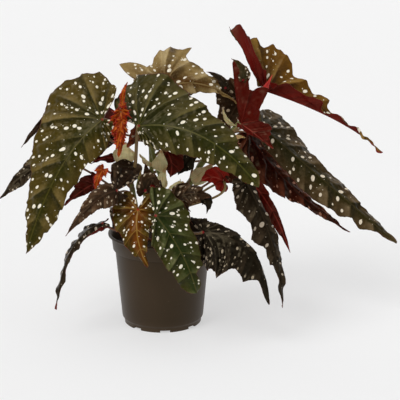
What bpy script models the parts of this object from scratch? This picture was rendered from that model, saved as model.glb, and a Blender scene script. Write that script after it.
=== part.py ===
"""A spotted cane begonia in a round plastic nursery pot, built from its separate pieces.

Units are metres and +Z is up. The origin is the middle of the pot's underside, +X runs to the
plant's right as it is usually seen and -Y points to the side that faces the viewer.

The pieces are the pot, the soil, the canes with their leaf stalks, one leaf blade per node and one
papery bract per node. Every leaf blade follows one formula: a lop-sided flat outline whose veins fan
out from the stalk, laid along an arched midrib, folded along it and waved at its margin. Sizes in
the tables are in millimetres and degrees.
"""

import math
from dataclasses import dataclass

import bpy
import numpy as np
from mathutils import Vector
from mathutils.bvhtree import BVHTree

MM = 0.001

# Pot
RIM_RADIUS = 60.0
RIM_HEIGHT = 104.0
COLLAR_RADIUS = 56.2
COLLAR_FOOT_RADIUS = 54.8
COLLAR_FOOT_HEIGHT = 85.5
WALL_TOP_RADIUS = 52.4
WALL_FOOT_RADIUS = 45.6
WALL_FOOT_HEIGHT = 7.5
FOOT_RADIUS = 43.2
FOOT_HEIGHT = 5.0
WALL = 1.4
FLOOR_HEIGHT = 3.2
FLOOR_THICKNESS = 1.4
FOOT_RING_WIDTH = 4.5
FOOT_NOTCHES = 8
NOTCH_WIDTH = 11.0
NOTCH_HEIGHT = 2.4
NOTCH_TURN = 5.0
DRAIN_HOLES = 6
DRAIN_RADIUS = 4.0
DRAIN_CIRCLE = 29.0
PAD_RADIUS = 9.0
POT_SEGMENTS = 36

# Soil
SOIL_HEIGHT = 89.0
SOIL_SWELL = 1.4
SOIL_SEGMENTS = 20
SOIL_CLEAR = 1.0
HOLE_CLEAR = 1.8
HOLE_SIDES = 12

# The gap between pieces that touch, and the thickness of blades and bracts
GAP = 0.3
BLADE_THICKNESS = 0.8
BRACT_THICKNESS = 0.7

# Leaf pattern
VEIN_SLOPE = 0.9
SINUS_SHARE = 0.14
ARC_STEPS = 16

# Canes and leaf stalks
CANE_SIDES = 8
STALK_SIDES = 5
STALK_STEPS = 6
JOINT_SWELL = 0.22
JOINT_REACH = 5.0
CANE_STEP = 12.0
STALK_RISE = 1.2
SEAT_STEP = 0.1
SEAT_STEPS = 80

DARK_GREEN = (0.030, 0.040, 0.020)
OLIVE = (0.075, 0.080, 0.035)
BRONZE = (0.110, 0.075, 0.030)
MAROON = (0.055, 0.018, 0.012)
RED = (0.180, 0.008, 0.012)
ORANGE = (0.480, 0.120, 0.030)
CREAM = (0.500, 0.480, 0.230)
CANE_GREEN = (0.110, 0.130, 0.035)
PLASTIC = (0.040, 0.030, 0.024)
EARTH = (0.030, 0.018, 0.010)


@dataclass(frozen=True)
class Half:
    """One half of a blade.

    width is its widest distance from the midrib, which it reaches `shoulder` along the midrib. heel
    is how far its lobe reaches back behind the stalk, and lobe the share of the width at which it
    does. fold turns the half down from the midrib at the stalk, fold_tip at the tip and fold_heel at
    the end of the lobe, and below zero they turn it up. curl bends its margin down. taper is how
    early it narrows towards the tip.
    """

    width: float
    heel: float
    shoulder: float
    fold: float = 0.0
    fold_tip: float = 0.0
    curl: float = 0.0
    taper: float = 1.0
    lobe: float = 0.45
    fold_heel: float = None


@dataclass(frozen=True)
class Blade:
    """A leaf blade: its midrib's arch, the way its upper face looks, and its two halves.

    The midrib starts at base towards bend, and comes from bend to the tip. wide_side is +1 where the
    wide half lies to the right of someone who walks from stalk to tip on the upper face, and -1 where
    it lies to the left. wave is the height of the margin's waves, teeth the depth of its notches and
    pleat the rise between two side veins. veins counts the side veins of a half: those that fan out
    from the stalk and those that leave the midrib further on.
    """

    name: str
    base: tuple
    bend: tuple
    tip: tuple
    face: tuple
    wide: Half
    narrow: Half
    wide_side: int
    colour: tuple
    wave: float = 1.5
    teeth: float = 1.2
    pleat: float = 0.8
    veins: tuple = (3, 3)
    columns: int = 2
    thickness: float = BLADE_THICKNESS


LEAVES = (
    Blade("leaf_left_large", (-61, -38, 238), (-112, -54, 202), (-144, -58, 96), (-0.30, -0.85, 0.40),
          Half(62, 38, 24, 4, 10, 8, taper=1.15), Half(26, 10, 40, 10, 20, 10, taper=0.8), 1, OLIVE,
          veins=(4, 5), columns=3, wave=2.0),
    Blade("leaf_centre_large", (-22, -52, 234), (49, -88, 251), (102, -98, 180), (0.05, -0.85, 0.45),
          Half(62, 33, 14, 4, 12, 8, taper=0.9), Half(29, 1, 45, 10, 20, 10, taper=0.8), -1, DARK_GREEN,
          veins=(4, 5), columns=3, wave=2.0),
    Blade("leaf_top_bronze", (2, 12, 264), (49, 14, 278), (83, 22, 243), (0.0, -0.75, 0.65),
          Half(50, 38, 22, 0, 10, 10, taper=2.1, lobe=0.4), Half(14, 6, 20, 30, 30), -1, BRONZE,
          veins=(4, 3)),
    Blade("leaf_top_right", (114, 4, 260), (198, -8, 234), (239, -20, 198), (0.25, 0.2, 0.9),
          Half(58, 60, -52, -50, -45, taper=2.6, lobe=0.9, fold_heel=-95),
          Half(48, 40, -8, -70, -60, taper=1.9, lobe=0.9), 1, BRONZE, veins=(4, 4)),
    Blade("leaf_red_underside", (86, -16, 229), (104, -28, 218), (120, -36, 206), (0.1, 0.9, 0.1),
          Half(50, 48, -20, taper=1.1, lobe=0.6), Half(14, 8, 8, 60, 60), 1, RED),
    Blade("leaf_right_shaded", (86, 30, 247), (73, 28, 224), (55, 24, 191), (0.1, -0.95, 0.2),
          Half(31, 17, 0, taper=1.3), Half(16, 10, 8), 1, MAROON),
    Blade("leaf_right_maroon", (95, 30, 208), (138, 38, 141), (213, 32, 93), (0.35, -0.7, 0.6),
          Half(30, 10, 30, 10, 10), Half(24, 6, 20, 10, 10), 1, MAROON, veins=(3, 5)),
    Blade("leaf_right_large", (110, 14, 219), (178, -6, 163), (259, -14, 94), (0.40, -0.75, 0.50),
          Half(34, 8, 50, 30, 20, taper=0.9), Half(22, 16, 30, 20, 20, taper=0.9), 1, OLIVE,
          veins=(3, 6), wave=2.0),
    Blade("leaf_right_drooping", (91, -42, 171), (126, -64, 114), (131, -62, 36), (0.3, -0.8, 0.3),
          Half(20, 10, 24, 20, 20, taper=0.9), Half(18, 6, 20, 20, 20, taper=0.9), 1, DARK_GREEN,
          veins=(3, 5), wave=2.5),
    Blade("leaf_right_red", (93, -20, 170), (123, -34, 143), (140, -36, 90), (-0.2, 0.9, 0.2),
          Half(18, 8, 14), Half(10, 6, 10), -1, RED, veins=(2, 4)),
    Blade("leaf_low_right", (45, -78, 126), (104, -104, 132), (114, -105, 55), (0.2, -0.85, 0.4),
          Half(42, 6, 30, 6, 6, taper=0.9), Half(15, 14, -4, 10, 10, taper=0.9, lobe=0.9), 1, DARK_GREEN,
          veins=(3, 4)),
    Blade("leaf_front_green", (-4, -88, 147), (27, -110, 117), (39, -108, 69), (0.1, -0.9, 0.40),
          Half(34, 26, 16, 8, 14, taper=0.9), Half(25, 8, 34, 10, 16, taper=0.6), -1, DARK_GREEN,
          veins=(4, 4)),
    Blade("leaf_front_bronze", (-23, -72, 149), (-28, -92, 122), (-12, -90, 92), (-0.1, -0.9, 0.4),
          Half(29, 22, 8, 10, 10, taper=0.9), Half(18, 20, 14, 10, 10, taper=0.9), 1, BRONZE),
    Blade("leaf_left_middle", (-45, -70, 169), (-69, -92, 170), (-97, -96, 127), (-0.1, -0.9, 0.5),
          Half(30, 36, -10, 5, 10, taper=2.0, lobe=0.6), Half(15, 8, 14, 20, 20), 1, MAROON,
          veins=(3, 4)),
    Blade("leaf_low_left", (-63, -44, 126), (-104, -64, 119), (-113, -60, 33), (-0.5, -0.5, 0.7),
          Half(22, 12, 20, 30, 30), Half(16, 8, 10, 30, 30), 1, DARK_GREEN, veins=(2, 5)),
    Blade("leaf_far_left", (-129, 8, 183), (-156, 2, 169), (-179, 0, 141), (-0.2, -0.9, 0.4),
          Half(11, 6, 14), Half(9, 4, 14), 1, MAROON, veins=(2, 4)),
    Blade("leaf_left_sliver", (-118, 2, 240), (-138, -2, 221), (-153, 0, 199), (-0.3, 0.9, 0.1),
          Half(7, 3, 10), Half(4, 2, 8), 1, RED, veins=(1, 3), columns=1),
    Blade("leaf_left_red", (-73, -24, 164), (-87, -28, 159), (-105, -28, 141), (-0.2, 0.9, 0.2),
          Half(16, 8, 6), Half(8, 4, 8), -1, RED, veins=(2, 3)),
    Blade("leaf_young_upper", (-41, -46, 249), (-38, -62, 229), (-43, -62, 203), (0.0, -0.95, 0.3),
          Half(15, 8, 8, taper=0.8), Half(12, 6, 10, taper=0.8), -1, ORANGE, teeth=4.0, wave=2.0),
    Blade("leaf_young_lower", (-61, -44, 185), (-67, -54, 178), (-69, -52, 164), (0.1, -0.9, 0.3),
          Half(8, 6, 4), Half(7, 4, 4), 1, ORANGE, teeth=2.5, veins=(2, 3)),
    Blade("leaf_inner_red", (6, -13, 198), (14, -19, 188), (10, -17, 170), (0.1, 0.9, 0.1),
          Half(14, 6, 8), Half(10, 6, 8), 1, RED, veins=(2, 2)),
    Blade("leaf_inner_dark", (33, -6, 191), (25, -10, 183), (18, -12, 171), (0.1, -0.9, 0.2),
          Half(9, 5, 6), Half(6, 4, 6), 1, MAROON, veins=(2, 2)),
    Blade("leaf_front_small", (15, -58, 152), (25, -64, 171), (54, -66, 161), (0.1, -0.85, 0.5),
          Half(16, 8, 12, 10, 10), Half(10, 6, 10, 20, 20), 1, MAROON, veins=(3, 3)),
    Blade("leaf_inner_spotted", (-16, -50, 163), (-11, -52, 187), (0, -56, 169), (0.0, -0.9, 0.4),
          Half(8, 5, 6), Half(6, 4, 5), 1, MAROON, veins=(2, 2)),
    Blade("leaf_inner_bright_red", (68, -34, 169), (55, -30, 179), (42, -26, 167), (0.0, 0.9, 0.2),
          Half(12, 8, 5), Half(8, 5, 6), 1, RED, veins=(2, 2)),
    Blade("leaf_rim_left", (-44, -40, 142), (-51, -56, 144), (-50, -60, 124), (-0.3, -0.9, 0.4),
          Half(9, 6, 5), Half(8, 6, 5), 1, MAROON, veins=(2, 2)),
    Blade("leaf_left_brown", (-53, -14, 218), (-61, -24, 211), (-72, -26, 188), (0.2, -0.9, 0.2),
          Half(7, 4, 6), Half(6, 3, 6), 1, MAROON, veins=(1, 3), columns=1),
    Blade("leaf_left_red_small", (-50, -26, 193), (-61, -30, 197), (-75, -30, 188), (0.0, 0.9, 0.3),
          Half(6, 4, 6), Half(5, 3, 6), 1, RED, veins=(1, 3), columns=1),
    Blade("leaf_inner_copper", (-9, -30, 225), (-22, -34, 224), (-36, -34, 207), (0.0, -0.8, -0.5),
          Half(12, 6, 8), Half(8, 5, 8), 1, BRONZE, veins=(2, 3)),
    Blade("leaf_back_left", (-66, 50, 212), (-94, 72, 250), (-122, 96, 172), (-0.3, 0.75, 0.6),
          Half(28, 16, 18, 10, 20), Half(18, 8, 22, 10, 20), -1, OLIVE),
    Blade("leaf_back_middle", (-12, 62, 218), (-12, 124, 262), (-8, 168, 196), (0.1, 0.5, 0.85),
          Half(44, 24, 20, 10, 20), Half(22, 8, 26, 10, 20), 1, DARK_GREEN),
    Blade("leaf_back_right", (115, 60, 184), (168, 84, 159), (216, 92, 111), (0.3, 0.8, 0.5),
          Half(20, 12, 20, 10, 20), Half(16, 8, 26, 10, 20), -1, DARK_GREEN),
    Blade("leaf_back_top", (22, 44, 256), (44, 70, 286), (52, 112, 240), (0.5, 0.3, 0.8),
          Half(30, 18, 14, 10, 20), Half(16, 8, 16, 10, 20), -1, OLIVE, veins=(3, 3)),
    Blade("leaf_back_low", (2, 66, 122), (8, 104, 130), (12, 118, 44), (0.1, 0.9, 0.4),
          Half(30, 16, 14, 10, 20), Half(18, 8, 16, 10, 20), 1, DARK_GREEN, veins=(3, 3)),
)


@dataclass(frozen=True)
class Stalk:
    """A leaf stalk: the blade it carries, how high it leaves the cane and in what direction.

    reach is how far it runs on in that direction, as a share of its length, and arrive the direction
    in which it gets to the blade, where that isn't its usual one.
    """

    leaf: str
    height: float
    leave: tuple
    arrive: tuple = None
    radius: float = 1.5
    reach: float = 0.4


@dataclass(frozen=True)
class Cane:
    """An upright stem: points on its axis from the soil up, its end radii and its leaf stalks."""

    name: str
    path: tuple
    radii: tuple
    joints: tuple
    stalks: tuple


CANES = (
    Cane("cane_right", ((12, 4, 75), (12, 4, 100), (20, 2, 135), (42, 0, 178), (74, 2, 214),
                        (98, 3, 241), (108, -3, 256)), (4.2, 2.2), (118, 156, 214),
         (Stalk("leaf_top_right", 238, (0.8, 0.3, 0.5)),
          Stalk("leaf_red_underside", 205, (0.6, -0.6, 0.5), (0.7, 0.2, 0.6)),
          Stalk("leaf_right_large", 212, (0.7, 0.5, 0.5)),
          Stalk("leaf_right_maroon", 196, (0.6, 0.6, 0.4)),
          Stalk("leaf_right_shaded", 172, (-0.1, 1.0, -0.1), (0.3, -0.5, 0.8), reach=0.45),
          Stalk("leaf_right_drooping", 130, (0.5, -0.7, 0.5)),
          Stalk("leaf_right_red", 150, (0.8, 0.2, 0.4)),
          Stalk("leaf_inner_bright_red", 128, (0.6, -0.7, 0.5)),
          Stalk("leaf_inner_dark", 155, (0.2, -0.5, 0.6)))),
    Cane("cane_centre", ((2, -8, 75), (2, -8, 100), (3, -10, 140), (0, -12, 165), (-8, -8, 190),
                         (-14, 0, 225), (-10, 6, 245)), (3.0, 2.0), (112, 158, 205),
         (Stalk("leaf_top_bronze", 242, (0.2, 0.3, 0.9)),
          Stalk("leaf_inner_red", 190, (0.5, 0.5, 0.6)),
          Stalk("leaf_inner_copper", 212, (0.3, -0.6, 0.6)))),
    Cane("cane_left", ((-24, -14, 75), (-24, -14, 100), (-30, -20, 150), (-38, -26, 190),
                       (-42, -30, 225)), (3.4, 2.0), (120, 160, 195),
         (Stalk("leaf_left_large", 218, (-0.4, 0.3, 0.8)),
          Stalk("leaf_centre_large", 165, (0.3, -0.7, 0.6)),
          Stalk("leaf_young_upper", 216, (0.0, -0.9, 0.2), (0.0, -0.1, 1.0)),
          Stalk("leaf_left_middle", 150, (-0.5, -0.5, 0.6)),
          Stalk("leaf_left_brown", 200, (0.2, 0.5, 0.8)),
          Stalk("leaf_left_red_small", 180, (-0.2, 0.2, 0.8)),
          Stalk("leaf_young_lower", 158, (-0.5, -0.3, 0.6)),
          Stalk("leaf_left_red", 135, (-0.7, 0.1, 0.6)),
          Stalk("leaf_left_sliver", 205, (-0.8, -0.2, 0.5)),
          Stalk("leaf_far_left", 140, (-0.8, 0.4, 0.5)))),
    Cane("cane_front", ((-4, -32, 75), (-4, -32, 100), (-12, -38, 135), (-20, -41, 168)),
         (2.8, 1.8), (116, 150),
         (Stalk("leaf_front_green", 118, (0.5, -0.8, 0.3), (-0.3, -0.8, 0.4)),
          Stalk("leaf_front_bronze", 142, (-0.2, -0.9, 0.1)),
          Stalk("leaf_low_right", 106, (0.7, -0.4, 0.5)),
          Stalk("leaf_front_small", 130, (0.8, -0.2, 0.5)),
          Stalk("leaf_inner_spotted", 146, (0.7, -0.5, 0.3), (-0.6, -0.5, 0.6)),
          Stalk("leaf_rim_left", 112, (-0.8, 0.1, 0.5)),
          Stalk("leaf_low_left", 100, (-0.9, 0.1, 0.4)))),
    Cane("cane_back", ((-8, 26, 75), (-8, 26, 100), (-12, 36, 150), (-14, 42, 200)),
         (3.4, 2.0), (114, 158),
         (Stalk("leaf_back_left", 190, (-0.5, 0.2, 0.8)),
          Stalk("leaf_back_middle", 195, (0.1, 0.3, 0.9)),
          Stalk("leaf_back_top", 180, (0.5, 0.1, 0.8)),
          Stalk("leaf_back_low", 108, (0.1, 0.7, 0.5)),
          Stalk("leaf_back_right", 160, (0.9, 0.2, 0.5)))),
)


@dataclass(frozen=True)
class Bract:
    """A papery scale at a cane's joint, made like a narrow blade with no lobes.

    It stands on the cane's side at a height, where outward points, or on the cane's end where height
    is None. bend and tip are given from its foot.
    """

    name: str
    cane: str
    height: float
    outward: tuple
    bend: tuple
    tip: tuple
    width: float
    fold: float = 0.0
    colour: tuple = CREAM


BRACTS = (
    Bract("bract_left_large", "cane_left", 188, (0, -1, 0), (-3, -4, 14), (1, -3, 25), 10),
    Bract("bract_centre_large", "cane_centre", 176, (0, -1, 0), (4, -10, 12), (4, -9, 27), 8),
    Bract("bract_centre_left", "cane_centre", 184, (-1, -0.6, 0), (-9, -3, 2), (-15, -4, 12), 4),
    Bract("bract_middle", "cane_centre", 156, (-0.5, -1, 0), (-2, -3, 14), (6, -6, 27), 5),
    Bract("bract_middle_right", "cane_centre", 152, (1, -0.3, 0), (10, -5, 16), (20, -8, 11), 5),
    Bract("bract_left_green", "cane_front", 158, (0, -1, 0), (-6, -4, 10), (-3, -2, 27), 4,
          colour=CANE_GREEN),
    Bract("bract_right", "cane_right", 162, (0.1, -1, 0), (14, -8, 8), (24, -8, 24), 7),
    Bract("bract_upper_curled", "cane_right", 222, (-0.7, -0.6, 0), (-12, -6, 9), (-12, -9, 20), 4),
    Bract("bract_upper_ring", "cane_right", 196, (0, -1, 0), (20, -20, 24), (34, -16, 18), 4),
    Bract("bract_top", "cane_right", 246, (-0.3, -1, 0), (2, -9, 10), (12, -13, 20), 5),
    Bract("bud_top", "cane_right", None, (0, 0, 1), (5, -6, 10), (11, -12, 25), 2.5, -30, RED),
)


def unit(vector):
    """Return a vector scaled to length one."""
    vector = np.asarray(vector, float)
    return vector / np.linalg.norm(vector)


def ease(x):
    """Return a smooth step from 0 to 1 as x runs from 0 to 1."""
    x = min(max(x, 0.0), 1.0)
    return x * x * (3.0 - 2.0 * x)


def arch(blade, u):
    """Return the midrib's point and direction at the share u of its run from stalk to tip."""
    base, bend, tip = (np.array(point, float) for point in (blade.base, blade.bend, blade.tip))
    point = (1.0 - u) ** 2 * base + 2.0 * u * (1.0 - u) * bend + u * u * tip
    return point, unit((1.0 - u) * (bend - base) + u * (tip - bend))


def midrib_length(blade, steps=24):
    """Return the length of the midrib."""
    points = [arch(blade, k / steps)[0] for k in range(steps + 1)]
    return sum(np.linalg.norm(b - a) for a, b in zip(points, points[1:]))


def midrib_frame(blade, p, length):
    """Return the midrib's point, direction and upward normal at the distance p from the stalk."""
    point, along = arch(blade, max(p / length, 0.0))
    up = unit(blade.face - np.dot(blade.face, along) * along)
    return point + min(p, 0.0) * along, along, up


def flat_margin(half, length):
    """Return the flat margin of a half, from behind the stalk round its lobe to the tip."""
    lobe = half.lobe * half.width
    taper = half.taper
    quarter = [0.5 * math.pi * k / ARC_STEPS for k in range(ARC_STEPS)]
    margin = [(-half.heel * math.sin(a), lobe * (0.6 * (1.0 - math.cos(a)) + 0.4 * math.sin(a)))
              for a in quarter]
    margin += [(-half.heel + (half.shoulder + half.heel) * (1.0 - math.cos(a)),
                lobe + (half.width - lobe) * math.sin(a)) for a in quarter]
    run = [k / (2.0 * ARC_STEPS) for k in range(2 * ARC_STEPS + 1)]
    margin += [(half.shoulder + (length - half.shoulder) * x,
                half.width * (1.0 - x) ** taper * (1.0 + taper * x * math.exp(-8.0 * x))) for x in run]
    return np.array(margin)


def vein_rows(blade, half, length):
    """Return the flat start and end of each row of a half: one per side vein and one between two.

    The first rows all start at the stalk, and the last one is the tip alone.
    """
    margin = flat_margin(half, length)
    step = np.linalg.norm(np.diff(margin, axis=0), axis=1)
    run = np.concatenate(([0.0], np.cumsum(step)))
    past = [k for k, (p, q) in enumerate(margin) if k > ARC_STEPS and p > VEIN_SLOPE * q]
    fan_end = run[past[0]]
    fan, ladder = 2 * blade.veins[0], 2 * blade.veins[1]
    rows = []
    for k in range(fan + 1):
        at = fan_end * (SINUS_SHARE + (1.0 - SINUS_SHARE) * k / fan)
        rows.append((0.0, np.interp(at, run, margin[:, 0]), np.interp(at, run, margin[:, 1])))
    outer = margin[past[0]:]
    for k in range(1, ladder + 1):
        x = k / ladder
        p = outer[0, 0] + (length - outer[0, 0]) * x
        rows.append((length * x, p, np.interp(p, outer[:, 0], outer[:, 1])))
    return rows


def on_half(blade, half, side, length, p, q, share, row):
    """Return the point of the blade that lies at the flat place (p, q) of a half.

    share is how far along its row from midrib to margin the place lies, and row counts the rows.
    """
    point, along, up = midrib_frame(blade, p, length)
    across = np.cross(along, up) * side
    end_fold = half.fold_tip if p > 0.0 or half.fold_heel is None else half.fold_heel
    share_out = p / length if p > 0.0 or half.fold_heel is None else -p / half.heel
    fold = half.fold + (end_fold - half.fold) * ease(share_out)
    angle = math.radians(fold + half.curl * q / half.width)
    point = point + q * (across * math.cos(angle) - up * math.sin(angle))
    between = 0.5 - 0.5 * math.cos(math.pi * row)
    lift = blade.pleat * between * math.sin(math.pi * share)
    lift += blade.wave * share ** 2 * math.sin(0.5 * math.pi * row + side)
    return point + up * lift


def blade_surface(blade):
    """Return the points and triangles of the sheet in the middle of a blade's thickness."""
    length = midrib_length(blade)
    points = [midrib_frame(blade, 0.0, length)[0]]
    spine = {}
    triangles = []
    for half, side in ((blade.wide, blade.wide_side), (blade.narrow, -blade.wide_side)):
        grid = []
        rows = vein_rows(blade, half, length)
        for row, (start, p_end, q_end) in enumerate(rows):
            key = round(start, 6)
            if start > 0.0 and key not in spine:
                spine[key] = len(points)
                points.append(midrib_frame(blade, start, length)[0])
            line = [spine.get(key, 0)]
            notch = blade.teeth * (row % 2) / max(math.hypot(p_end - start, q_end), 1.0)
            for column in range(1, blade.columns + 1):
                if row == len(rows) - 1:
                    break
                share = column / blade.columns
                reach = share * (1.0 - notch * share)
                p = start + (p_end - start) * reach
                line.append(len(points))
                points.append(on_half(blade, half, side, length, p, q_end * reach, share, row))
            grid.append(line)
        for low, high in zip(grid, grid[1:]):
            for k in range(blade.columns):
                quad = [low[k], low[k + 1]]
                quad += [high[min(k + 1, len(high) - 1)], high[min(k, len(high) - 1)]]
                corners = list(dict.fromkeys(quad))
                for third in range(2, len(corners)):
                    triangle = [corners[0], corners[third - 1], corners[third]]
                    triangles.append(triangle if side > 0 else triangle[::-1])
    return np.array(points), np.array(triangles)


def thicken(points, triangles, thickness):
    """Return the closed solid made by giving a sheet its thickness, half to each side."""
    normals = np.zeros_like(points)
    a, b, c = (points[triangles[:, k]] for k in range(3))
    flat = np.cross(b - a, c - a)
    for k in range(3):
        np.add.at(normals, triangles[:, k], flat)
    normals /= np.linalg.norm(normals, axis=1)[:, None]
    count = len(points)
    solid = np.vstack((points + 0.5 * thickness * normals, points - 0.5 * thickness * normals))
    faces = [tuple(t) for t in triangles] + [tuple(t[::-1] + count) for t in triangles]
    edges = {(t[k], t[(k + 1) % 3]) for t in triangles for k in range(3)}
    for start, end in sorted(edges):
        if (end, start) not in edges:
            faces.append((end, start, start + count))
            faces.append((end, start + count, end + count))
    return solid, [tuple(int(k) for k in face) for face in faces]


def material(name, colour, roughness, metallic=0.0):
    """Return a Principled material."""
    made = bpy.data.materials.new(name)
    made.use_nodes = True
    shader = made.node_tree.nodes["Principled BSDF"]
    shader.inputs["Base Color"].default_value = (*colour, 1.0)
    shader.inputs["Roughness"].default_value = roughness
    shader.inputs["Metallic"].default_value = metallic
    return made


def add_object(name, points, faces, colour, roughness, origin=(0.0, 0.0, 0.0)):
    """Add a mesh object from points in millimetres, with its origin at a given place."""
    mesh = bpy.data.meshes.new(name)
    origin = np.array(origin, float)
    mesh.from_pydata([Vector((np.asarray(point) - origin) * MM) for point in points], [], faces)
    mesh.validate()
    mesh.shade_smooth()
    made = bpy.data.objects.new(name, mesh)
    made.location = Vector(origin * MM)
    made.data.materials.append(material(name, colour, roughness))
    bpy.context.collection.objects.link(made)
    return made


def add_blade(blade):
    """Add a leaf blade or bract as one closed solid."""
    points, triangles = blade_surface(blade)
    solid, faces = thicken(points, triangles, blade.thickness)
    return add_object(blade.name, solid, faces, blade.colour, 0.45, blade.base)


def lathe(profile, segments):
    """Return the solid turned from a profile of (radius, height) that starts and ends on the axis."""
    points = [(0.0, 0.0, profile[0][1])]
    for radius, height in profile[1:-1]:
        for k in range(segments):
            turn = 2.0 * math.pi * k / segments
            points.append((radius * math.cos(turn), radius * math.sin(turn), height))
    points.append((0.0, 0.0, profile[-1][1]))
    faces = []
    rings = len(profile) - 2
    for k in range(segments):
        after = (k + 1) % segments
        faces.append((0, 1 + after, 1 + k))
        for ring in range(rings - 1):
            low, high = 1 + ring * segments, 1 + (ring + 1) * segments
            faces.append((low + k, low + after, high + after, high + k))
        last = 1 + (rings - 1) * segments
        faces.append((last + k, last + after, len(points) - 1))
    return points, faces


def add_cutter(name, points, faces):
    """Add a guide solid that a Boolean modifier subtracts; it isn't part of the model."""
    cutter = add_object(name, points, faces, EARTH, 1.0)
    cutter.hide_render = True
    cutter.display_type = "WIRE"
    return cutter


def cut(target, cutter):
    """Subtract a guide solid from a target with an exact Boolean modifier."""
    modifier = target.modifiers.new("cut", "BOOLEAN")
    modifier.operation = "DIFFERENCE"
    modifier.solver = "EXACT"
    modifier.object = cutter


def box(centre, half_sizes, turn):
    """Return the points and faces of a box turned about the vertical axis through the origin."""
    points = []
    for x in (-1, 1):
        for y in (-1, 1):
            for z in (-1, 1):
                px, py = centre[0] + x * half_sizes[0], centre[1] + y * half_sizes[1]
                points.append((px * math.cos(turn) - py * math.sin(turn),
                               px * math.sin(turn) + py * math.cos(turn),
                               centre[2] + z * half_sizes[2]))
    faces = [(0, 1, 3, 2), (4, 6, 7, 5), (0, 4, 5, 1), (2, 3, 7, 6), (0, 2, 6, 4), (1, 5, 7, 3)]
    return points, faces


def post(centre, radius, low, high, sides):
    """Return the points and faces of an upright prism with many sides."""
    points = []
    for height in (low, high):
        for k in range(sides):
            turn = 2.0 * math.pi * k / sides
            points.append((centre[0] + radius * math.cos(turn), centre[1] + radius * math.sin(turn),
                           height))
    faces = [(k, (k + 1) % sides, sides + (k + 1) % sides, sides + k) for k in range(sides)]
    faces += [tuple(reversed(range(sides))), tuple(range(sides, 2 * sides))]
    return points, faces


def gather(solids):
    """Return several separate solids as one list of points and one of faces."""
    points, faces = [], []
    for some_points, some_faces in solids:
        offset = len(points)
        points += list(some_points)
        faces += [tuple(k + offset for k in face) for face in some_faces]
    return points, faces


def inner_radius(height):
    """Return the radius of the pot's inner wall at a height below the rim's flare."""
    if height < COLLAR_FOOT_HEIGHT:
        share = (height - WALL_FOOT_HEIGHT) / (COLLAR_FOOT_HEIGHT - WALL_FOOT_HEIGHT)
        return WALL_FOOT_RADIUS + (WALL_TOP_RADIUS - WALL_FOOT_RADIUS) * share - WALL
    share = (height - COLLAR_FOOT_HEIGHT) / (RIM_HEIGHT - 5.0 - COLLAR_FOOT_HEIGHT)
    return COLLAR_FOOT_RADIUS + (COLLAR_RADIUS - COLLAR_FOOT_RADIUS) * share - WALL


def add_pot():
    """Add the pot: a turned shell with a flared lip, a notched foot ring and drain holes."""
    floor_top = FLOOR_HEIGHT + FLOOR_THICKNESS
    ring = FOOT_RADIUS - FOOT_RING_WIDTH
    inside_low = WALL_FOOT_HEIGHT + 0.6
    inside_high = COLLAR_FOOT_HEIGHT - 0.8
    collar_low = COLLAR_FOOT_HEIGHT + 1.6
    profile = [
        (0.0, 0.0), (PAD_RADIUS, 0.0), (PAD_RADIUS, FLOOR_HEIGHT), (ring, FLOOR_HEIGHT), (ring, 0.0),
        (FOOT_RADIUS, 0.0), (FOOT_RADIUS + 0.2, FOOT_HEIGHT), (WALL_FOOT_RADIUS, WALL_FOOT_HEIGHT),
        (WALL_TOP_RADIUS, COLLAR_FOOT_HEIGHT - 0.7), (COLLAR_FOOT_RADIUS, COLLAR_FOOT_HEIGHT),
        (COLLAR_RADIUS, RIM_HEIGHT - 5.0), (RIM_RADIUS - 1.2, RIM_HEIGHT - 3.4),
        (RIM_RADIUS, RIM_HEIGHT - 2.4), (RIM_RADIUS, RIM_HEIGHT - 1.0), (RIM_RADIUS - 0.8, RIM_HEIGHT),
        (RIM_RADIUS - 2.4, RIM_HEIGHT - 0.5), (COLLAR_RADIUS - 1.0, RIM_HEIGHT - 3.6),
        (inner_radius(RIM_HEIGHT - 5.0), RIM_HEIGHT - 5.0), (inner_radius(collar_low), collar_low),
        (inner_radius(inside_high), inside_high), (inner_radius(inside_low), inside_low),
        (FOOT_RADIUS - WALL, floor_top), (0.0, floor_top),
    ]
    pot = add_object("pot", *lathe(profile, POT_SEGMENTS), PLASTIC, 0.45)
    pot.data.set_sharp_from_angle(angle=math.radians(30.0))
    notches = []
    for k in range(FOOT_NOTCHES):
        turn = 2.0 * math.pi * k / FOOT_NOTCHES + math.radians(90.0 + NOTCH_TURN)
        notches.append(box((ring + 0.5 * FOOT_RING_WIDTH, 0.0, 0.5 * NOTCH_HEIGHT - 1.0),
                           (FOOT_RING_WIDTH, 0.5 * NOTCH_WIDTH, 0.5 * NOTCH_HEIGHT + 1.0), turn))
    cut(pot, add_cutter("notch_guide", *gather(notches)))
    holes = []
    for k in range(DRAIN_HOLES):
        turn = 2.0 * math.pi * (k + 0.5) / DRAIN_HOLES
        centre = (DRAIN_CIRCLE * math.cos(turn), DRAIN_CIRCLE * math.sin(turn))
        holes.append(post(centre, DRAIN_RADIUS, FLOOR_HEIGHT - 1.0, floor_top + 1.0, 10))
    cut(pot, add_cutter("drain_guide", *gather(holes)))
    return pot


def soil_height(x, y):
    """Return the height of the soil's gently uneven top."""
    bumps = math.sin(x / 9.0 + 1.0) * math.cos(y / 7.0) + 0.6 * math.sin((x - y) / 5.0)
    return SOIL_HEIGHT + SOIL_SWELL * 0.6 * bumps


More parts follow.
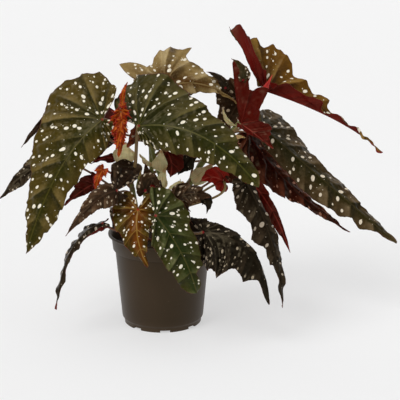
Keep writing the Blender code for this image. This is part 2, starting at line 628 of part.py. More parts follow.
def add_soil():
    """Add the plug of soil, with a plain hole for each cane."""
    floor = FLOOR_HEIGHT + FLOOR_THICKNESS + GAP
    step_low, step_high = COLLAR_FOOT_HEIGHT - 1.2, COLLAR_FOOT_HEIGHT + 2.0
    profile = [(0.0, floor), (FOOT_RADIUS - WALL - SOIL_CLEAR, floor),
               (inner_radius(WALL_FOOT_HEIGHT + 1.5) - SOIL_CLEAR, WALL_FOOT_HEIGHT + 1.5),
               (inner_radius(step_low) - SOIL_CLEAR, step_low),
               (inner_radius(step_high) - SOIL_CLEAR, step_high),
               (inner_radius(SOIL_HEIGHT) - SOIL_CLEAR, SOIL_HEIGHT)]
    outer = profile[-1][0]
    profile += [(outer * share, SOIL_HEIGHT) for share in (0.75, 0.5, 0.25)]
    profile.append((0.0, SOIL_HEIGHT))
    points, faces = lathe(profile, SOIL_SEGMENTS)
    points = [(x, y, soil_height(x, y) if z == SOIL_HEIGHT else z) for x, y, z in points]
    soil = add_object("soil", points, faces, EARTH, 0.95)
    holes = []
    for cane in CANES:
        x, y, low = cane.path[0]
        holes.append(post((x, y), cane.radii[0] + HOLE_CLEAR, low - GAP, RIM_HEIGHT, HOLE_SIDES))
    cut(soil, add_cutter("hole_guide", *gather(holes)))
    return soil


def smooth_path(points, step):
    """Return points about a step apart on a smooth curve through the given ones."""
    points = [np.array(point, float) for point in points]
    padded = [2.0 * points[0] - points[1]] + points + [2.0 * points[-1] - points[-2]]
    path = []
    for before, start, end, after in zip(padded, padded[1:], padded[2:], padded[3:]):
        count = max(1, round(np.linalg.norm(end - start) / step))
        for k in range(count):
            t = k / count
            path.append(0.5 * (2.0 * start + (end - before) * t
                               + (2.0 * before - 5.0 * start + 4.0 * end - after) * t ** 2
                               + (3.0 * start - before - 3.0 * end + after) * t ** 3))
    path.append(points[-1])
    return path


def tube(path, radii, sides, first=None):
    """Return a closed tube along a path, with a radius for each of its points.

    first is the direction in which it starts, where that isn't the way to the second point.
    """
    path = [np.array(point, float) for point in path]
    along = [unit(b - a) for a, b in zip(path, path[1:])]
    start = along[0] if first is None else unit(first)
    along = [start] + [unit(a + b) for a, b in zip(along, along[1:])] + [along[-1]]
    side = unit(np.cross(along[0], (0.31, 0.95, 0.05)))
    points = []
    for point, direction, radius in zip(path, along, radii):
        side = unit(side - np.dot(side, direction) * direction)
        other = np.cross(direction, side)
        for k in range(sides):
            turn = 2.0 * math.pi * k / sides
            points.append(point + radius * (side * math.cos(turn) + other * math.sin(turn)))
    faces = [tuple(reversed(range(sides)))]
    for ring in range(len(path) - 1):
        low, high = ring * sides, (ring + 1) * sides
        for k in range(sides):
            after = (k + 1) % sides
            faces.append((low + k, low + after, high + after, high + k))
    faces.append(tuple(range((len(path) - 1) * sides, len(path) * sides)))
    return points, faces


def cane_radius(cane, height):
    """Return a cane's radius at a height, with its swollen joints."""
    low, high = cane.path[0][2], cane.path[-1][2]
    share = (height - low) / (high - low)
    swell = sum(math.exp(-((height - joint) / JOINT_REACH) ** 2) for joint in cane.joints)
    return (cane.radii[0] + (cane.radii[1] - cane.radii[0]) * share) * (1.0 + JOINT_SWELL * swell)


def bract_blade(bract, cane):
    """Return a bract as a blade that stands a gap away from its cane."""
    if bract.height is None:
        foot = np.array(cane.path[-1]) + (2.0 * GAP + BRACT_THICKNESS) * unit(bract.outward)
        face = (0.0, -1.0, 0.2)
    else:
        clear = cane_radius(cane, bract.height) + 2.0 * GAP + 0.5 * BRACT_THICKNESS
        path = smooth_path(cane.path, CANE_STEP)
        foot = axis_point(path, bract.height)
        along = unit(axis_point(path, bract.height + 1.0) - foot)
        foot = foot + clear * unit(bract.outward - np.dot(bract.outward, along) * along)
        face = bract.outward
    half = Half(bract.width, 0.5, 0.35 * math.hypot(*bract.tip), bract.fold, bract.fold)
    return Blade(bract.name, tuple(foot), tuple(foot + bract.bend), tuple(foot + bract.tip), face,
                 half, half, 1, bract.colour, wave=0.3, teeth=0.0, pleat=0.0, veins=(1, 2), columns=1,
                 thickness=BRACT_THICKNESS)


def seat_stalk(stalk, blade):
    """Return where a leaf stalk ends under its blade and the direction in which it gets there."""
    points, triangles = blade_surface(blade)
    sheet = BVHTree.FromPolygons([Vector(point) for point in points], triangles.tolist())
    base, along, up = midrib_frame(blade, 0.0, midrib_length(blade))
    arrive = unit(STALK_RISE * up + along if stalk.arrive is None else stalk.arrive)
    side = unit(np.cross(arrive, along))
    other = np.cross(arrive, side)
    clear = GAP + 0.5 * blade.thickness
    for step in range(1, SEAT_STEPS):
        end = base - SEAT_STEP * step * arrive
        ring = [end + stalk.radius * (side * math.cos(turn) + other * math.sin(turn))
                for turn in np.linspace(0.0, 2.0 * math.pi, 12, endpoint=False)]
        if min(sheet.find_nearest(Vector(point))[3] for point in [end] + ring) > clear:
            break
    return end, arrive


def axis_point(path, height):
    """Return the point of a cane's axis at a height."""
    path = np.array(path)
    return np.array([np.interp(height, path[:, 2], path[:, k]) for k in range(3)])


def stalk_tube(stalk, path, blades):
    """Return a leaf stalk as a tube from the cane's axis to just under its blade."""
    end, arrive = seat_stalk(stalk, blades[stalk.leaf])
    start = axis_point(path, stalk.height)
    reach = stalk.reach * np.linalg.norm(end - start)
    control = [start, start + reach * unit(stalk.leave), end - reach * arrive, end]
    line = []
    for k in range(STALK_STEPS + 1):
        t = k / STALK_STEPS
        line.append((1.0 - t) ** 3 * control[0] + 3.0 * t * (1.0 - t) ** 2 * control[1]
                    + 3.0 * t * t * (1.0 - t) * control[2] + t ** 3 * control[3])
    line.append(end)
    line[-2] = end - 0.5 * stalk.radius * arrive
    return tube(line, [stalk.radius] * len(line), STALK_SIDES)


def add_cane(cane, blades):
    """Add a cane with swollen joints, and its leaf stalks joined to it in one solid."""
    path = smooth_path(cane.path, CANE_STEP)
    radii = [cane_radius(cane, point[2]) for point in path]
    body = add_object(cane.name, *tube(path, radii, CANE_SIDES, (0, 0, 1)), CANE_GREEN, 0.4)
    branches = bpy.data.collections.new(cane.name)
    bpy.context.scene.collection.children.link(branches)
    for stalk in cane.stalks:
        branch = add_object("stalk", *stalk_tube(stalk, path, blades), CANE_GREEN, 0.4)
        bpy.context.collection.objects.unlink(branch)
        branches.objects.link(branch)
    union = body.modifiers.new("union", "BOOLEAN")
    union.operation = "UNION"
    union.solver = "EXACT"
    union.operand_type = "COLLECTION"
    union.collection = branches
    evaluated = body.evaluated_get(bpy.context.evaluated_depsgraph_get())
    joined = bpy.data.meshes.new_from_object(evaluated)
    body.modifiers.clear()
    body.data = joined
    for branch in list(branches.objects):
        bpy.data.objects.remove(branch, do_unlink=True)
    bpy.data.collections.remove(branches)
    joined.materials.clear()
    joined.materials.append(material(cane.name, CANE_GREEN, 0.4))
    return body


def main():
    """Remove what the scene holds and build the plant."""
    for thing in list(bpy.data.objects):
        bpy.data.objects.remove(thing, do_unlink=True)
    add_pot()
    add_soil()
    blades = {blade.name: blade for blade in LEAVES}
    canes = {cane.name: cane for cane in CANES}
    for blade in LEAVES:
        add_blade(blade)
    for cane in CANES:
        add_cane(cane, blades)
    for bract in BRACTS:
        add_blade(bract_blade(bract, canes[bract.cane]))


if __name__ == "__main__":
    main()
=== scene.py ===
"""Dresses the potted begonia and sets it in a plain studio.

The leaf blades, bracts, stems and pot are built again with fine faces, from the same formula and the
same sizes as the solids in the part's source, and each stands for its solid. Lengths in the tables
are in millimetres and angles in degrees, as they are there.
"""

import logging
import math
from dataclasses import dataclass, field
from enum import Enum

import bpy
import numpy as np
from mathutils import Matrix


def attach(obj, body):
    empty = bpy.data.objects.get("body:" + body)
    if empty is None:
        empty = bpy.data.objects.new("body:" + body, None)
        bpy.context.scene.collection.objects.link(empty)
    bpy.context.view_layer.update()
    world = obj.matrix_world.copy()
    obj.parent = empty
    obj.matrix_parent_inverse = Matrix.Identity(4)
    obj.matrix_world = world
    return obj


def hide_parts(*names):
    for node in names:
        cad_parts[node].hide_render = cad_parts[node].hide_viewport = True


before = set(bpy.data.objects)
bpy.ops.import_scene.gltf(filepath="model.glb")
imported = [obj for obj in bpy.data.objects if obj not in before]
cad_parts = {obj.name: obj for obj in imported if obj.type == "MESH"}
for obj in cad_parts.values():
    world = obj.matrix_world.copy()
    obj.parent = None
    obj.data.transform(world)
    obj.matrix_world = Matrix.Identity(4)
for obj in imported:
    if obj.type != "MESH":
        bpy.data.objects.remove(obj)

LOG = logging.getLogger("begonia")
MM = 0.001
IMAGE_SIZE = 400
Colour = tuple[float, float, float]


def srgb(red: int, green: int, blue: int) -> Colour:
    """Turn a screen colour into the linear colour that shaders take.

    Args:
        red: Red, 0 to 255.
        green: Green, 0 to 255.
        blue: Blue, 0 to 255.

    Returns:
        The linear colour.
    """
    shares = (channel / 255.0 for channel in (red, green, blue))
    return tuple(c / 12.92 if c <= 0.04045 else ((c + 0.055) / 1.055) ** 2.4 for c in shares)


def unit(vector: np.ndarray) -> np.ndarray:
    """Scale vectors to length one.

    Args:
        vector: One vector, or an array whose last axis holds vectors.

    Returns:
        The unit vectors.
    """
    vector = np.asarray(vector, float)
    return vector / np.maximum(np.linalg.norm(vector, axis=-1, keepdims=True), 1e-9)


def ease(x: np.ndarray) -> np.ndarray:
    """Give a smooth step.

    Args:
        x: Values, of which 0 to 1 is the step.

    Returns:
        0 below the step, 1 above it and a smooth run between.
    """
    x = np.clip(x, 0.0, 1.0)
    return x * x * (3.0 - 2.0 * x)


class Number:
    """A number on its way through a material's nodes, on which plain maths adds Math nodes."""

    def __init__(self, net: "Net", socket: bpy.types.NodeSocket) -> None:
        """Wrap a socket.

        Args:
            net: The nodes that it belongs to.
            socket: The output that carries the number.
        """
        self.net = net
        self.socket = socket

    def maths(self, operation: str, *values: "Number | float") -> "Number":
        """Add one Math node.

        Args:
            operation: What it works out.
            values: Its inputs in order.

        Returns:
            Its result.
        """
        sockets = {place: value for place, value in enumerate(values)}
        made = self.net.node("ShaderNodeMath", {"operation": operation}, sockets)
        return Number(self.net, made.outputs[0])

    def __add__(self, other: "Number | float") -> "Number":
        """Add."""
        return self.maths("ADD", self, other)

    __radd__ = __add__

    def __sub__(self, other: "Number | float") -> "Number":
        """Subtract."""
        return self.maths("SUBTRACT", self, other)

    def __rsub__(self, other: "Number | float") -> "Number":
        """Subtract from a plain number."""
        return self.maths("SUBTRACT", other, self)

    def __mul__(self, other: "Number | float") -> "Number":
        """Multiply."""
        return self.maths("MULTIPLY", self, other)

    __rmul__ = __mul__

    def __truediv__(self, other: "Number | float") -> "Number":
        """Divide."""
        return self.maths("DIVIDE", self, other)

    def __pow__(self, other: float) -> "Number":
        """Raise to a power."""
        return self.maths("POWER", self, other)

    def __abs__(self) -> "Number":
        """Drop the sign."""
        return self.maths("ABSOLUTE", self)

    def least(self, other: "Number | float") -> "Number":
        """Take the lower of two."""
        return self.maths("MINIMUM", self, other)

    def most(self, other: "Number | float") -> "Number":
        """Take the higher of two."""
        return self.maths("MAXIMUM", self, other)

    def fraction(self) -> "Number":
        """Drop the whole part."""
        return self.maths("FRACT", self)

    def step(self, low: float, high: float) -> "Number":
        """Run smoothly from 0 to 1.

        Args:
            low: Where the result is 0.
            high: Where it is 1.

        Returns:
            The smooth step.
        """
        made = self.net.node("ShaderNodeMapRange", {"interpolation_type": "SMOOTHSTEP"},
                             {"Value": self, "From Min": low, "From Max": high})
        return Number(self.net, made.outputs[0])


class Net:
    """The nodes of one material."""

    def __init__(self, name: str) -> None:
        """Start a material with its Principled shader.

        Args:
            name: The material's name.
        """
        self.material = bpy.data.materials.new(name)
        self.material.use_nodes = True
        self.tree = self.material.node_tree
        self.shader = self.tree.nodes["Principled BSDF"]

    def node(self, kind: str, settings: dict | None = None,
             sockets: dict | None = None) -> bpy.types.Node:
        """Add a node.

        Args:
            kind: Blender's name of the node type.
            settings: Its own settings.
            sockets: A value, Number or output for each input, by its name or place.

        Returns:
            The node.
        """
        made = self.tree.nodes.new(kind)
        for key, value in (settings or {}).items():
            setattr(made, key, value)
        for key, value in (sockets or {}).items():
            self.feed(made.inputs[key], value)
        return made

    def feed(self, target: bpy.types.NodeSocket, value: object) -> None:
        """Set an input or link it.

        Args:
            target: The input.
            value: A Number, an output, a colour or a plain value.
        """
        if isinstance(value, Number):
            self.tree.links.new(value.socket, target)
        elif isinstance(value, bpy.types.NodeSocket):
            self.tree.links.new(value, target)
        elif target.type == "RGBA" and len(value) == 3:
            target.default_value = (*value, 1.0)
        else:
            target.default_value = value

    def attribute(self, name: str) -> bpy.types.Node:
        """Read a mesh attribute by its name."""
        return self.node("ShaderNodeAttribute", {"attribute_name": name})

    def parts(self, vector: bpy.types.NodeSocket) -> list[Number]:
        """Split a vector into its three numbers."""
        made = self.node("ShaderNodeSeparateXYZ", None, {0: vector})
        return [Number(self, output) for output in made.outputs]

    def mix(self, low: object, high: object, share: "Number | float") -> bpy.types.NodeSocket:
        """Mix two colours.

        Args:
            low: The colour at share 0.
            high: The colour at share 1.
            share: The mix, from 0 to 1.

        Returns:
            The output that carries the mixed colour.
        """
        made = self.node("ShaderNodeMix", {"data_type": "RGBA", "clamp_factor": True},
                         {0: share, 6: low, 7: high})
        return made.outputs[2]

    def stretched(self, vector: bpy.types.NodeSocket, factors: tuple) -> bpy.types.NodeSocket:
        """Multiply a vector by three factors."""
        made = self.node("ShaderNodeVectorMath", {"operation": "MULTIPLY"}, {0: vector, 1: factors})
        return made.outputs[0]

    def noise(self, vector: bpy.types.NodeSocket, scale: float, detail: float = 2.0) -> Number:
        """Add a noise pattern.

        Args:
            vector: Where the pattern is read.
            scale: How fine it is.
            detail: Its finer layers.

        Returns:
            The noise, about 0.5 on average.
        """
        made = self.node("ShaderNodeTexNoise", None,
                         {"Vector": vector, "Scale": scale, "Detail": detail})
        return Number(self, made.outputs["Fac"])

    def place(self) -> bpy.types.NodeSocket:
        """Read the place on the object, in metres."""
        return self.node("ShaderNodeTexCoord").outputs["Object"]

    def bump(self, height: Number, distance: float, strength: float = 1.0) -> None:
        """Feed the shader's normal from a height.

        Args:
            height: The height, from 0 to 1.
            distance: How high 1 stands, in metres.
            strength: How much of it is used.
        """
        made = self.node("ShaderNodeBump", None,
                         {"Height": height, "Distance": distance, "Strength": strength})
        self.feed(self.shader.inputs["Normal"], made.outputs[0])

    def finish(self, **sockets: object) -> bpy.types.Material:
        """Feed the shader's inputs, with _ for each space in their names, and return the material."""
        for key, value in sockets.items():
            self.feed(self.shader.inputs[key.replace("_", " ")], value)
        return self.material


WARM_GLOSS = (1.0, 0.82, 0.5)


@dataclass(frozen=True)
class LeafFinish:
    """The colours and gloss of one kind of leaf, with the shade and sheen painted on its panels between the
    veins.
    """

    name: str
    inner: Colour
    outer: Colour
    vein: Colour
    spot: Colour
    under: Colour = srgb(92, 10, 8)
    under_pale: Colour = srgb(132, 50, 44)
    edge: Colour = srgb(80, 34, 20)
    heart: Colour = srgb(132, 22, 34)
    # sheen is a painted highlight colour, laid on the lit side of each panel between the veins.
    sheen: Colour = srgb(112, 104, 82)
    veining: float = 0.4
    roughness: float = 0.34
    specks: float = 0.8
    glow: float = 0.0
    # lobe_shade darkens the lobe behind the stalk with painted shade.
    lobe_shade: float = 0.0
    edge_from: float = 0.978

    def build(self) -> bpy.types.Material:
        """Build the material: veins, spots, specks and margin above, with painted shade just past each vein
        and a painted sheen before it, and the red underside, with painted shade past its veins.
        """
        net = Net(self.name)
        place = net.place()
        count, share, pitch = net.parts(net.attribute("vein").outputs["Vector"])
        flat = net.attribute("flat").outputs["Vector"]
        along, out, _ = net.parts(flat)
        spot = Number(net, net.attribute("spot").outputs["Fac"])
        below = Number(net, net.attribute("below").outputs["Fac"])
        turn = (count + 0.5).fraction() - 0.5
        main = abs(turn) * pitch
        fork = abs(abs(turn) - (share - 0.42).most(0.0) * 0.5) * pitch
        width = 0.62 - 0.36 * share
        veins = 1.0 - (main / width).step(0.45, 1.25)
        forks = (1.0 - (fork / width).step(0.3, 1.0)) * share.step(0.4, 0.55) * 0.55
        rib = (1.0 - abs(out).step(0.35, 0.95)) * along.step(-0.4, 0.4)
        veins = (veins * (1.0 - 0.6 * share)).most(forks * 0.5).most(rib)
        # Painted shade: past marks the band just past each vein, which is darkened as if it lay in shade.
        past = turn.step(-0.05, 0.06) * (1.0 - turn.step(0.08, 0.4))
        cloud = net.noise(place, 26.0, 3.0)
        grain = net.noise(place, 420.0, 3.0)
        dusty = net.noise(place, 90.0, 4.0)
        tone = net.mix(self.inner, self.outer, (share + 0.9 * (cloud - 0.5)).step(0.05, 0.8))
        # dark is the painted shade colour; shade mixes the painted shade on those bands with random darker
        # mottling from dusty.
        dark = tuple(0.45 * channel for channel in self.inner)
        patchy = cloud.step(0.3, 0.62)
        shade = 0.85 * past * patchy + 1.1 * (dusty - 0.5)
        # Painted shade over the lobe behind the stalk.
        if self.lobe_shade:
            shade = shade + self.lobe_shade * (1.0 - along.step(-6.0, 14.0))
        tone = net.mix(tone, dark, shade.most(0.0))
        # Painted highlight: lit marks the side of each panel just before the next vein, mixed towards sheen as
        # if lit; grain adds random pale flecks.
        lit = (turn + 0.5).step(0.05, 0.48) * (1.0 - turn.step(-0.05, 0.05)) * share.step(0.1, 0.5)
        tone = net.mix(tone, self.sheen, (1.1 * lit * patchy + 1.0 * (grain - 0.5)).most(0.0) * 0.6)
        tone = net.mix(tone, self.vein, veins * self.veining)
        cells = net.node("ShaderNodeTexVoronoi", {"voronoi_dimensions": "2D"},
                         {"Vector": flat, "Scale": 0.17, "Randomness": 1.0})
        chance, size, _ = net.parts(cells.outputs["Color"])
        speck = Number(net, cells.outputs["Distance"]) / (size * 0.06 + 0.04)
        speck = (1.0 - speck.step(0.75, 1.1)) * chance.step(0.8, 0.84) * self.specks
        dots = (1.0 - (spot + (grain - 0.5) * 0.4).step(-0.22, 0.28)).most(speck)
        dots = dots * (1.0 - veins * 0.5)
        paint = net.mix(self.spot, self.outer, (net.noise(place, 300.0) - 0.45).most(0.0) * 0.5)
        tone = net.mix(tone, paint, dots)
        tone = net.mix(tone, self.edge, share.step(self.edge_from, 0.995) * 0.8)
        heart = (along * along + out * out) ** 0.5
        core = 1.0 - heart.step(0.7, 2.1)
        tone = net.mix(tone, self.heart, core)
        back = net.mix(self.under, self.under_pale, (0.55 * veins + 0.5 * (dusty - 0.5)).most(0.0))
        # Painted shade on the underside too: darker in the band just past each vein, and in random patches
        # from cloud.
        back = net.mix(back, tuple(0.4 * channel for channel in self.under),
                       ((cloud - 0.45).most(0.0) * 1.6 + 0.5 * past).least(1.0))
        base = net.mix(tone, back, below.step(0.45, 0.55))
        rough = self.roughness + 0.2 * (dusty - 0.5) + 0.1 * dots + 0.08 * below
        net.bump(grain * 0.5 + dusty * 0.8 + 0.6 * veins * (below * 2.0 - 1.0), 0.0003, 0.6)
        glow = {"Subsurface_Weight": self.glow, "Subsurface_Scale": 0.003} if self.glow else {}
        return net.finish(Base_Color=base, Roughness=rough, Specular_IOR_Level=0.18,
                          Specular_Tint=WARM_GLOSS, **glow)


@dataclass(frozen=True)
class PaperFinish:
    """The finish of a papery bract: a pale skin with fine lengthwise streaks and a browned tip."""

    name: str
    pale: Colour
    streak: Colour
    tip: Colour
    length: float = 26.0

    def build(self) -> bpy.types.Material:
        """Build the material."""
        net = Net(self.name)
        flat = net.attribute("flat").outputs["Vector"]
        along, _, _ = net.parts(flat)
        lines = net.noise(net.stretched(flat, (0.02, 0.9, 1.0)), 1.6, 3.0)
        cloud = net.noise(net.place(), 160.0, 3.0)
        tone = net.mix(self.pale, self.streak, (lines * 0.9 + cloud * 0.5).step(0.62, 0.95))
        tone = net.mix(tone, self.tip, (along / self.length + 0.5 * (cloud - 0.5)).step(0.72, 1.0))
        net.bump(lines, 0.0003, 0.6)
        return net.finish(Base_Color=tone, Roughness=0.5 + 0.2 * cloud, Subsurface_Weight=0.15,
                          Subsurface_Scale=0.002)


@dataclass(frozen=True)
class StemFinish:
    """The finish of canes and leaf stalks: smooth skin with pale dashes and browned joints."""

    name: str
    cane: Colour
    stalk: Colour
    warm: Colour
    joint: Colour
    dash: Colour

    def build(self) -> bpy.types.Material:
        """Build the material."""
        net = Net(self.name)
        place = net.place()
        kind = Number(net, net.attribute("kind").outputs["Fac"])
        joint = Number(net, net.attribute("joint").outputs["Fac"])
        tint = Number(net, net.attribute("tint").outputs["Fac"])
        long_streaks = net.noise(net.stretched(place, (1.0, 1.0, 0.12)), 520.0, 3.0)
        cloud = net.noise(place, 60.0, 3.0)
        tone = net.mix(self.cane, net.mix(self.stalk, self.warm, tint), kind)
        tone = net.mix(tone, self.joint, (joint * 0.8 + 0.4 * (cloud - 0.5)).most(0.0))
        cells = net.node("ShaderNodeTexVoronoi", None,
                         {"Vector": net.stretched(place, (1.0, 1.0, 0.35)), "Scale": 260.0})
        dashes = 1.0 - Number(net, cells.outputs["Distance"]).step(0.12, 0.24)
        tone = net.mix(tone, self.dash, dashes * (1.0 - kind) * 0.6)
        dark = tuple(0.55 * channel for channel in self.cane)
        tone = net.mix(tone, dark, (long_streaks - 0.5).most(0.0) * 0.8)
        net.bump(long_streaks + dashes * 0.5, 0.00025, 0.5)
        return net.finish(Base_Color=tone, Roughness=0.4 + 0.2 * cloud)


@dataclass(frozen=True)
class PotFinish:
    """The finish of the pot: dark moulded plastic with a satin skin, dust and fine scuffs."""

    name: str = "pot_plastic_finish"
    plastic: Colour = srgb(52, 39, 29)
    dark: Colour = srgb(38, 27, 19)
    dust: Colour = srgb(90, 75, 62)

    def build(self) -> bpy.types.Material:
        """Build the material."""
        net = Net(self.name)
        place = net.place()
        cloud = net.noise(place, 14.0, 4.0)
        fine = net.noise(place, 700.0, 2.0)
        scuff_lines = net.noise(net.stretched(place, (1.0, 1.0, 9.0)), 48.0, 5.0)
        marks = scuff_lines.step(0.66, 0.74) * cloud.step(0.45, 0.6)
        specks = net.noise(place, 240.0, 1.0).step(0.74, 0.8)
        _, _, height = net.parts(place)
        tone = net.mix(self.plastic, self.dark, (cloud * 1.3 - 0.3).most(0.0))
        tone = net.mix(tone, self.dust, marks * 0.3 + specks * 0.35)
        low = 1.0 - (height + 0.01 * (cloud - 0.5)).step(0.0, 0.016)
        tone = net.mix(tone, self.dust, low * 0.25)
        rough = 0.44 + 0.16 * (cloud - 0.5) + 0.2 * marks + 0.06 * (fine - 0.5)
        net.bump(fine * 0.6 + marks * 0.5, 0.00012, 0.4)
        return net.finish(Base_Color=tone, Roughness=rough, Specular_IOR_Level=0.3,
                          Specular_Tint=WARM_GLOSS)


@dataclass(frozen=True)
class EarthFinish:
    """The finish of the soil: dark moist peat with lighter fibres."""

    name: str
    wet: Colour
    dry: Colour
    fibre: Colour
    grain: float = 260.0

    def build(self) -> bpy.types.Material:
        """Build the material."""
        net = Net(self.name)
        place = net.place()
        lumps = net.noise(place, self.grain, 5.0)
        patch = net.noise(place, 55.0, 3.0)
        strands = net.noise(net.stretched(place, (1.0, 0.2, 1.0)), self.grain * 2.0, 2.0)
        tone = net.mix(self.wet, self.dry, (lumps * 0.6 + patch * 0.6).step(0.5, 0.85))
        tone = net.mix(tone, self.fibre, strands.step(0.66, 0.74) * 0.5)
        net.bump(lumps, 0.0012, 0.9)
        return net.finish(Base_Color=tone, Roughness=0.95 - 0.15 * patch)


WHITE_SPOT = srgb(244, 236, 216)
DULL_SPOT = srgb(172, 154, 130)
OLIVE_LIT = LeafFinish("leaf_olive_lit", srgb(40, 40, 4), srgb(72, 58, 14), srgb(90, 82, 30),
                       WHITE_SPOT, sheen=srgb(128, 108, 62), veining=0.4)
DEEP_GREEN = LeafFinish("leaf_deep_green", srgb(32, 36, 4), srgb(56, 50, 14), srgb(84, 82, 34),
                        WHITE_SPOT, sheen=srgb(98, 88, 48), veining=0.5)
FRONT_GREEN = LeafFinish("leaf_front_green_finish", srgb(28, 40, 10), srgb(48, 48, 14),
                         srgb(96, 88, 46), WHITE_SPOT, sheen=srgb(88, 94, 56), roughness=0.3,
                         veining=0.35)
# This pale bronze finish is partly the top leaf's own pale gold and partly painted light, as pale as its lit
# peak.
BRONZE_PALE_LIT = LeafFinish("leaf_bronze_pale_lit", srgb(80, 50, 14), srgb(136, 112, 66),
                         srgb(164, 142, 92), WHITE_SPOT, sheen=srgb(200, 178, 132))
BRONZE_GOLD = LeafFinish("leaf_bronze_gold", srgb(58, 26, 1), srgb(98, 64, 14),
                         srgb(124, 90, 38), WHITE_SPOT, sheen=srgb(156, 122, 60))
BRONZE_RED = LeafFinish("leaf_bronze_red", srgb(100, 50, 4), srgb(60, 46, 6), srgb(156, 122, 54),
                        WHITE_SPOT, edge=srgb(130, 20, 14), heart=srgb(150, 30, 14),
                        sheen=srgb(124, 100, 44), veining=0.6, roughness=0.3)
BROWN = LeafFinish("leaf_brown", srgb(26, 12, 5), srgb(50, 31, 17), srgb(58, 38, 24), DULL_SPOT,
                   sheen=srgb(94, 70, 50))
# DUSKY paints shade over its lobe behind the stalk.
DUSKY = LeafFinish("leaf_dusky", srgb(38, 21, 12), srgb(68, 45, 29), srgb(72, 49, 34), DULL_SPOT,
                   sheen=srgb(112, 86, 64), lobe_shade=1.2)
BLACK = LeafFinish("leaf_black", srgb(9, 5, 2), srgb(17, 11, 6), srgb(32, 22, 14),
                   srgb(156, 142, 120), sheen=srgb(44, 35, 25))
SLATE = LeafFinish("leaf_slate", srgb(20, 12, 6), srgb(38, 27, 17), srgb(52, 40, 28),
                   srgb(182, 168, 148), sheen=srgb(82, 69, 53))
OLIVE_DARK = LeafFinish("leaf_olive_dark", srgb(32, 30, 5), srgb(66, 50, 28), srgb(70, 58, 30),
                        srgb(228, 214, 190), sheen=srgb(112, 94, 68))
MAROON = LeafFinish("leaf_maroon_finish", srgb(36, 5, 1), srgb(60, 19, 7), srgb(92, 28, 16),
                    srgb(176, 126, 102), sheen=srgb(126, 68, 46))
RED_BACKED = LeafFinish("leaf_red_backed", srgb(46, 48, 30), srgb(76, 74, 52), srgb(100, 102, 74),
                        WHITE_SPOT, sheen=srgb(110, 108, 84), under=srgb(76, 5, 2),
                        under_pale=srgb(160, 62, 52))
DARK_BACKED = LeafFinish("leaf_dark_backed", srgb(30, 18, 10), srgb(48, 34, 24), srgb(60, 46, 32),
                         DULL_SPOT, under=srgb(44, 26, 16), under_pale=srgb(92, 70, 56))
COPPER = LeafFinish("leaf_copper", srgb(84, 26, 8), srgb(104, 40, 18), srgb(128, 60, 34), DULL_SPOT,
                    sheen=srgb(140, 76, 50), under=srgb(110, 34, 16), under_pale=srgb(150, 80, 56))
BRIGHT_RED = LeafFinish("leaf_bright_red", srgb(70, 36, 22), srgb(90, 56, 30), srgb(120, 76, 40),
                        WHITE_SPOT, under=srgb(140, 12, 8), under_pale=srgb(190, 86, 70))
ORANGE = LeafFinish("leaf_young_orange", srgb(130, 40, 2), srgb(176, 62, 8), srgb(210, 116, 36),
                    srgb(240, 190, 150), under=srgb(140, 40, 20), under_pale=srgb(190, 100, 50),
                    edge=srgb(180, 14, 34), heart=srgb(150, 50, 20), sheen=srgb(216, 120, 50),
                    veining=0.5, specks=0.0, glow=0.1, edge_from=0.8)
CREAM = PaperFinish("bract_cream_finish", srgb(212, 202, 150), srgb(166, 156, 98), srgb(176, 146, 92))
GREEN_PAPER = PaperFinish("bract_green_finish", srgb(150, 150, 84), srgb(104, 108, 50),
                          srgb(140, 110, 60))
RED_BUD = PaperFinish("bud_red_finish", srgb(188, 40, 30), srgb(150, 22, 26), srgb(206, 70, 50))
STEM = StemFinish("stem_finish", cane=srgb(106, 108, 44), stalk=srgb(124, 104, 54),
                  warm=srgb(118, 70, 42), joint=srgb(92, 64, 34), dash=srgb(166, 160, 104))
SOIL = EarthFinish("soil_finish", srgb(30, 22, 16), srgb(60, 46, 34), srgb(96, 76, 52))
CRUMB = EarthFinish("soil_crumb_finish", srgb(38, 28, 20), srgb(78, 58, 42), srgb(110, 88, 60), 500.0)
HAIR = PaperFinish("leaf_hair_finish", srgb(196, 40, 50), srgb(170, 24, 40), srgb(190, 60, 60))


class Side(Enum):
    """The side of the midrib on which a blade's wide half lies, for someone who walks to the tip."""

    RIGHT = 1
    LEFT = -1


@dataclass(frozen=True)
class Half:
    """One half of a blade, with the same sizes as in the part's source.

    reach is only the dressed blade's: pairs of a row and the share of the plain half's width there,
    which give the margin its corners and bays.
    """

    width: float
    heel: float
    shoulder: float
    fold: float = 0.0
    fold_tip: float = 0.0
    curl: float = 0.0
    taper: float = 1.0
    lobe: float = 0.45
    fold_heel: float | None = None
    sinus: float = 0.14
    reach: tuple = ((0.0, 1.0),)


@dataclass(frozen=True)
class Roll:
    """A stretch of margin that rolls over.

    wide says which half it is on, row is where it is centred, spread how many rows it takes, turn how
    far it rolls, up above zero, and start the share of the row at which it begins.
    """

    wide: bool
    row: float
    spread: float
    turn: float
    start: float = 0.6


@dataclass(frozen=True)
class Blade:
    """A leaf blade: the solid's own sizes, then what only the dressed blade has."""

    name: str
    base: tuple
    bend: tuple
    tip: tuple
    face: tuple
    wide: Half
    narrow: Half
    wide_side: Side
    finish: LeafFinish | PaperFinish
    slot: str
    wave: float = 1.5
    teeth: float = 1.2
    pleat: float = 0.8
    veins: tuple = (3, 3)
    jag: float = 3.0
    bay: float = 0.0
    fine: float = 0.35
    ruffle: float = 0.5
    ruffle_rate: float = 0.6
    spots: float = 1.0
    spacing: float = 1.3
    thickness: float = 0.5
    rolls: tuple = ()
    seed: int = 1


ARC_STEPS = 16
VEIN_SLOPE = 0.9


@dataclass
class Sheet:
    """The surface in the middle of a blade's thickness, with what its finish reads at each point."""

    points: np.ndarray
    triangles: np.ndarray
    vein: np.ndarray
    flat: np.ndarray
    spot: np.ndarray
    rim: np.ndarray


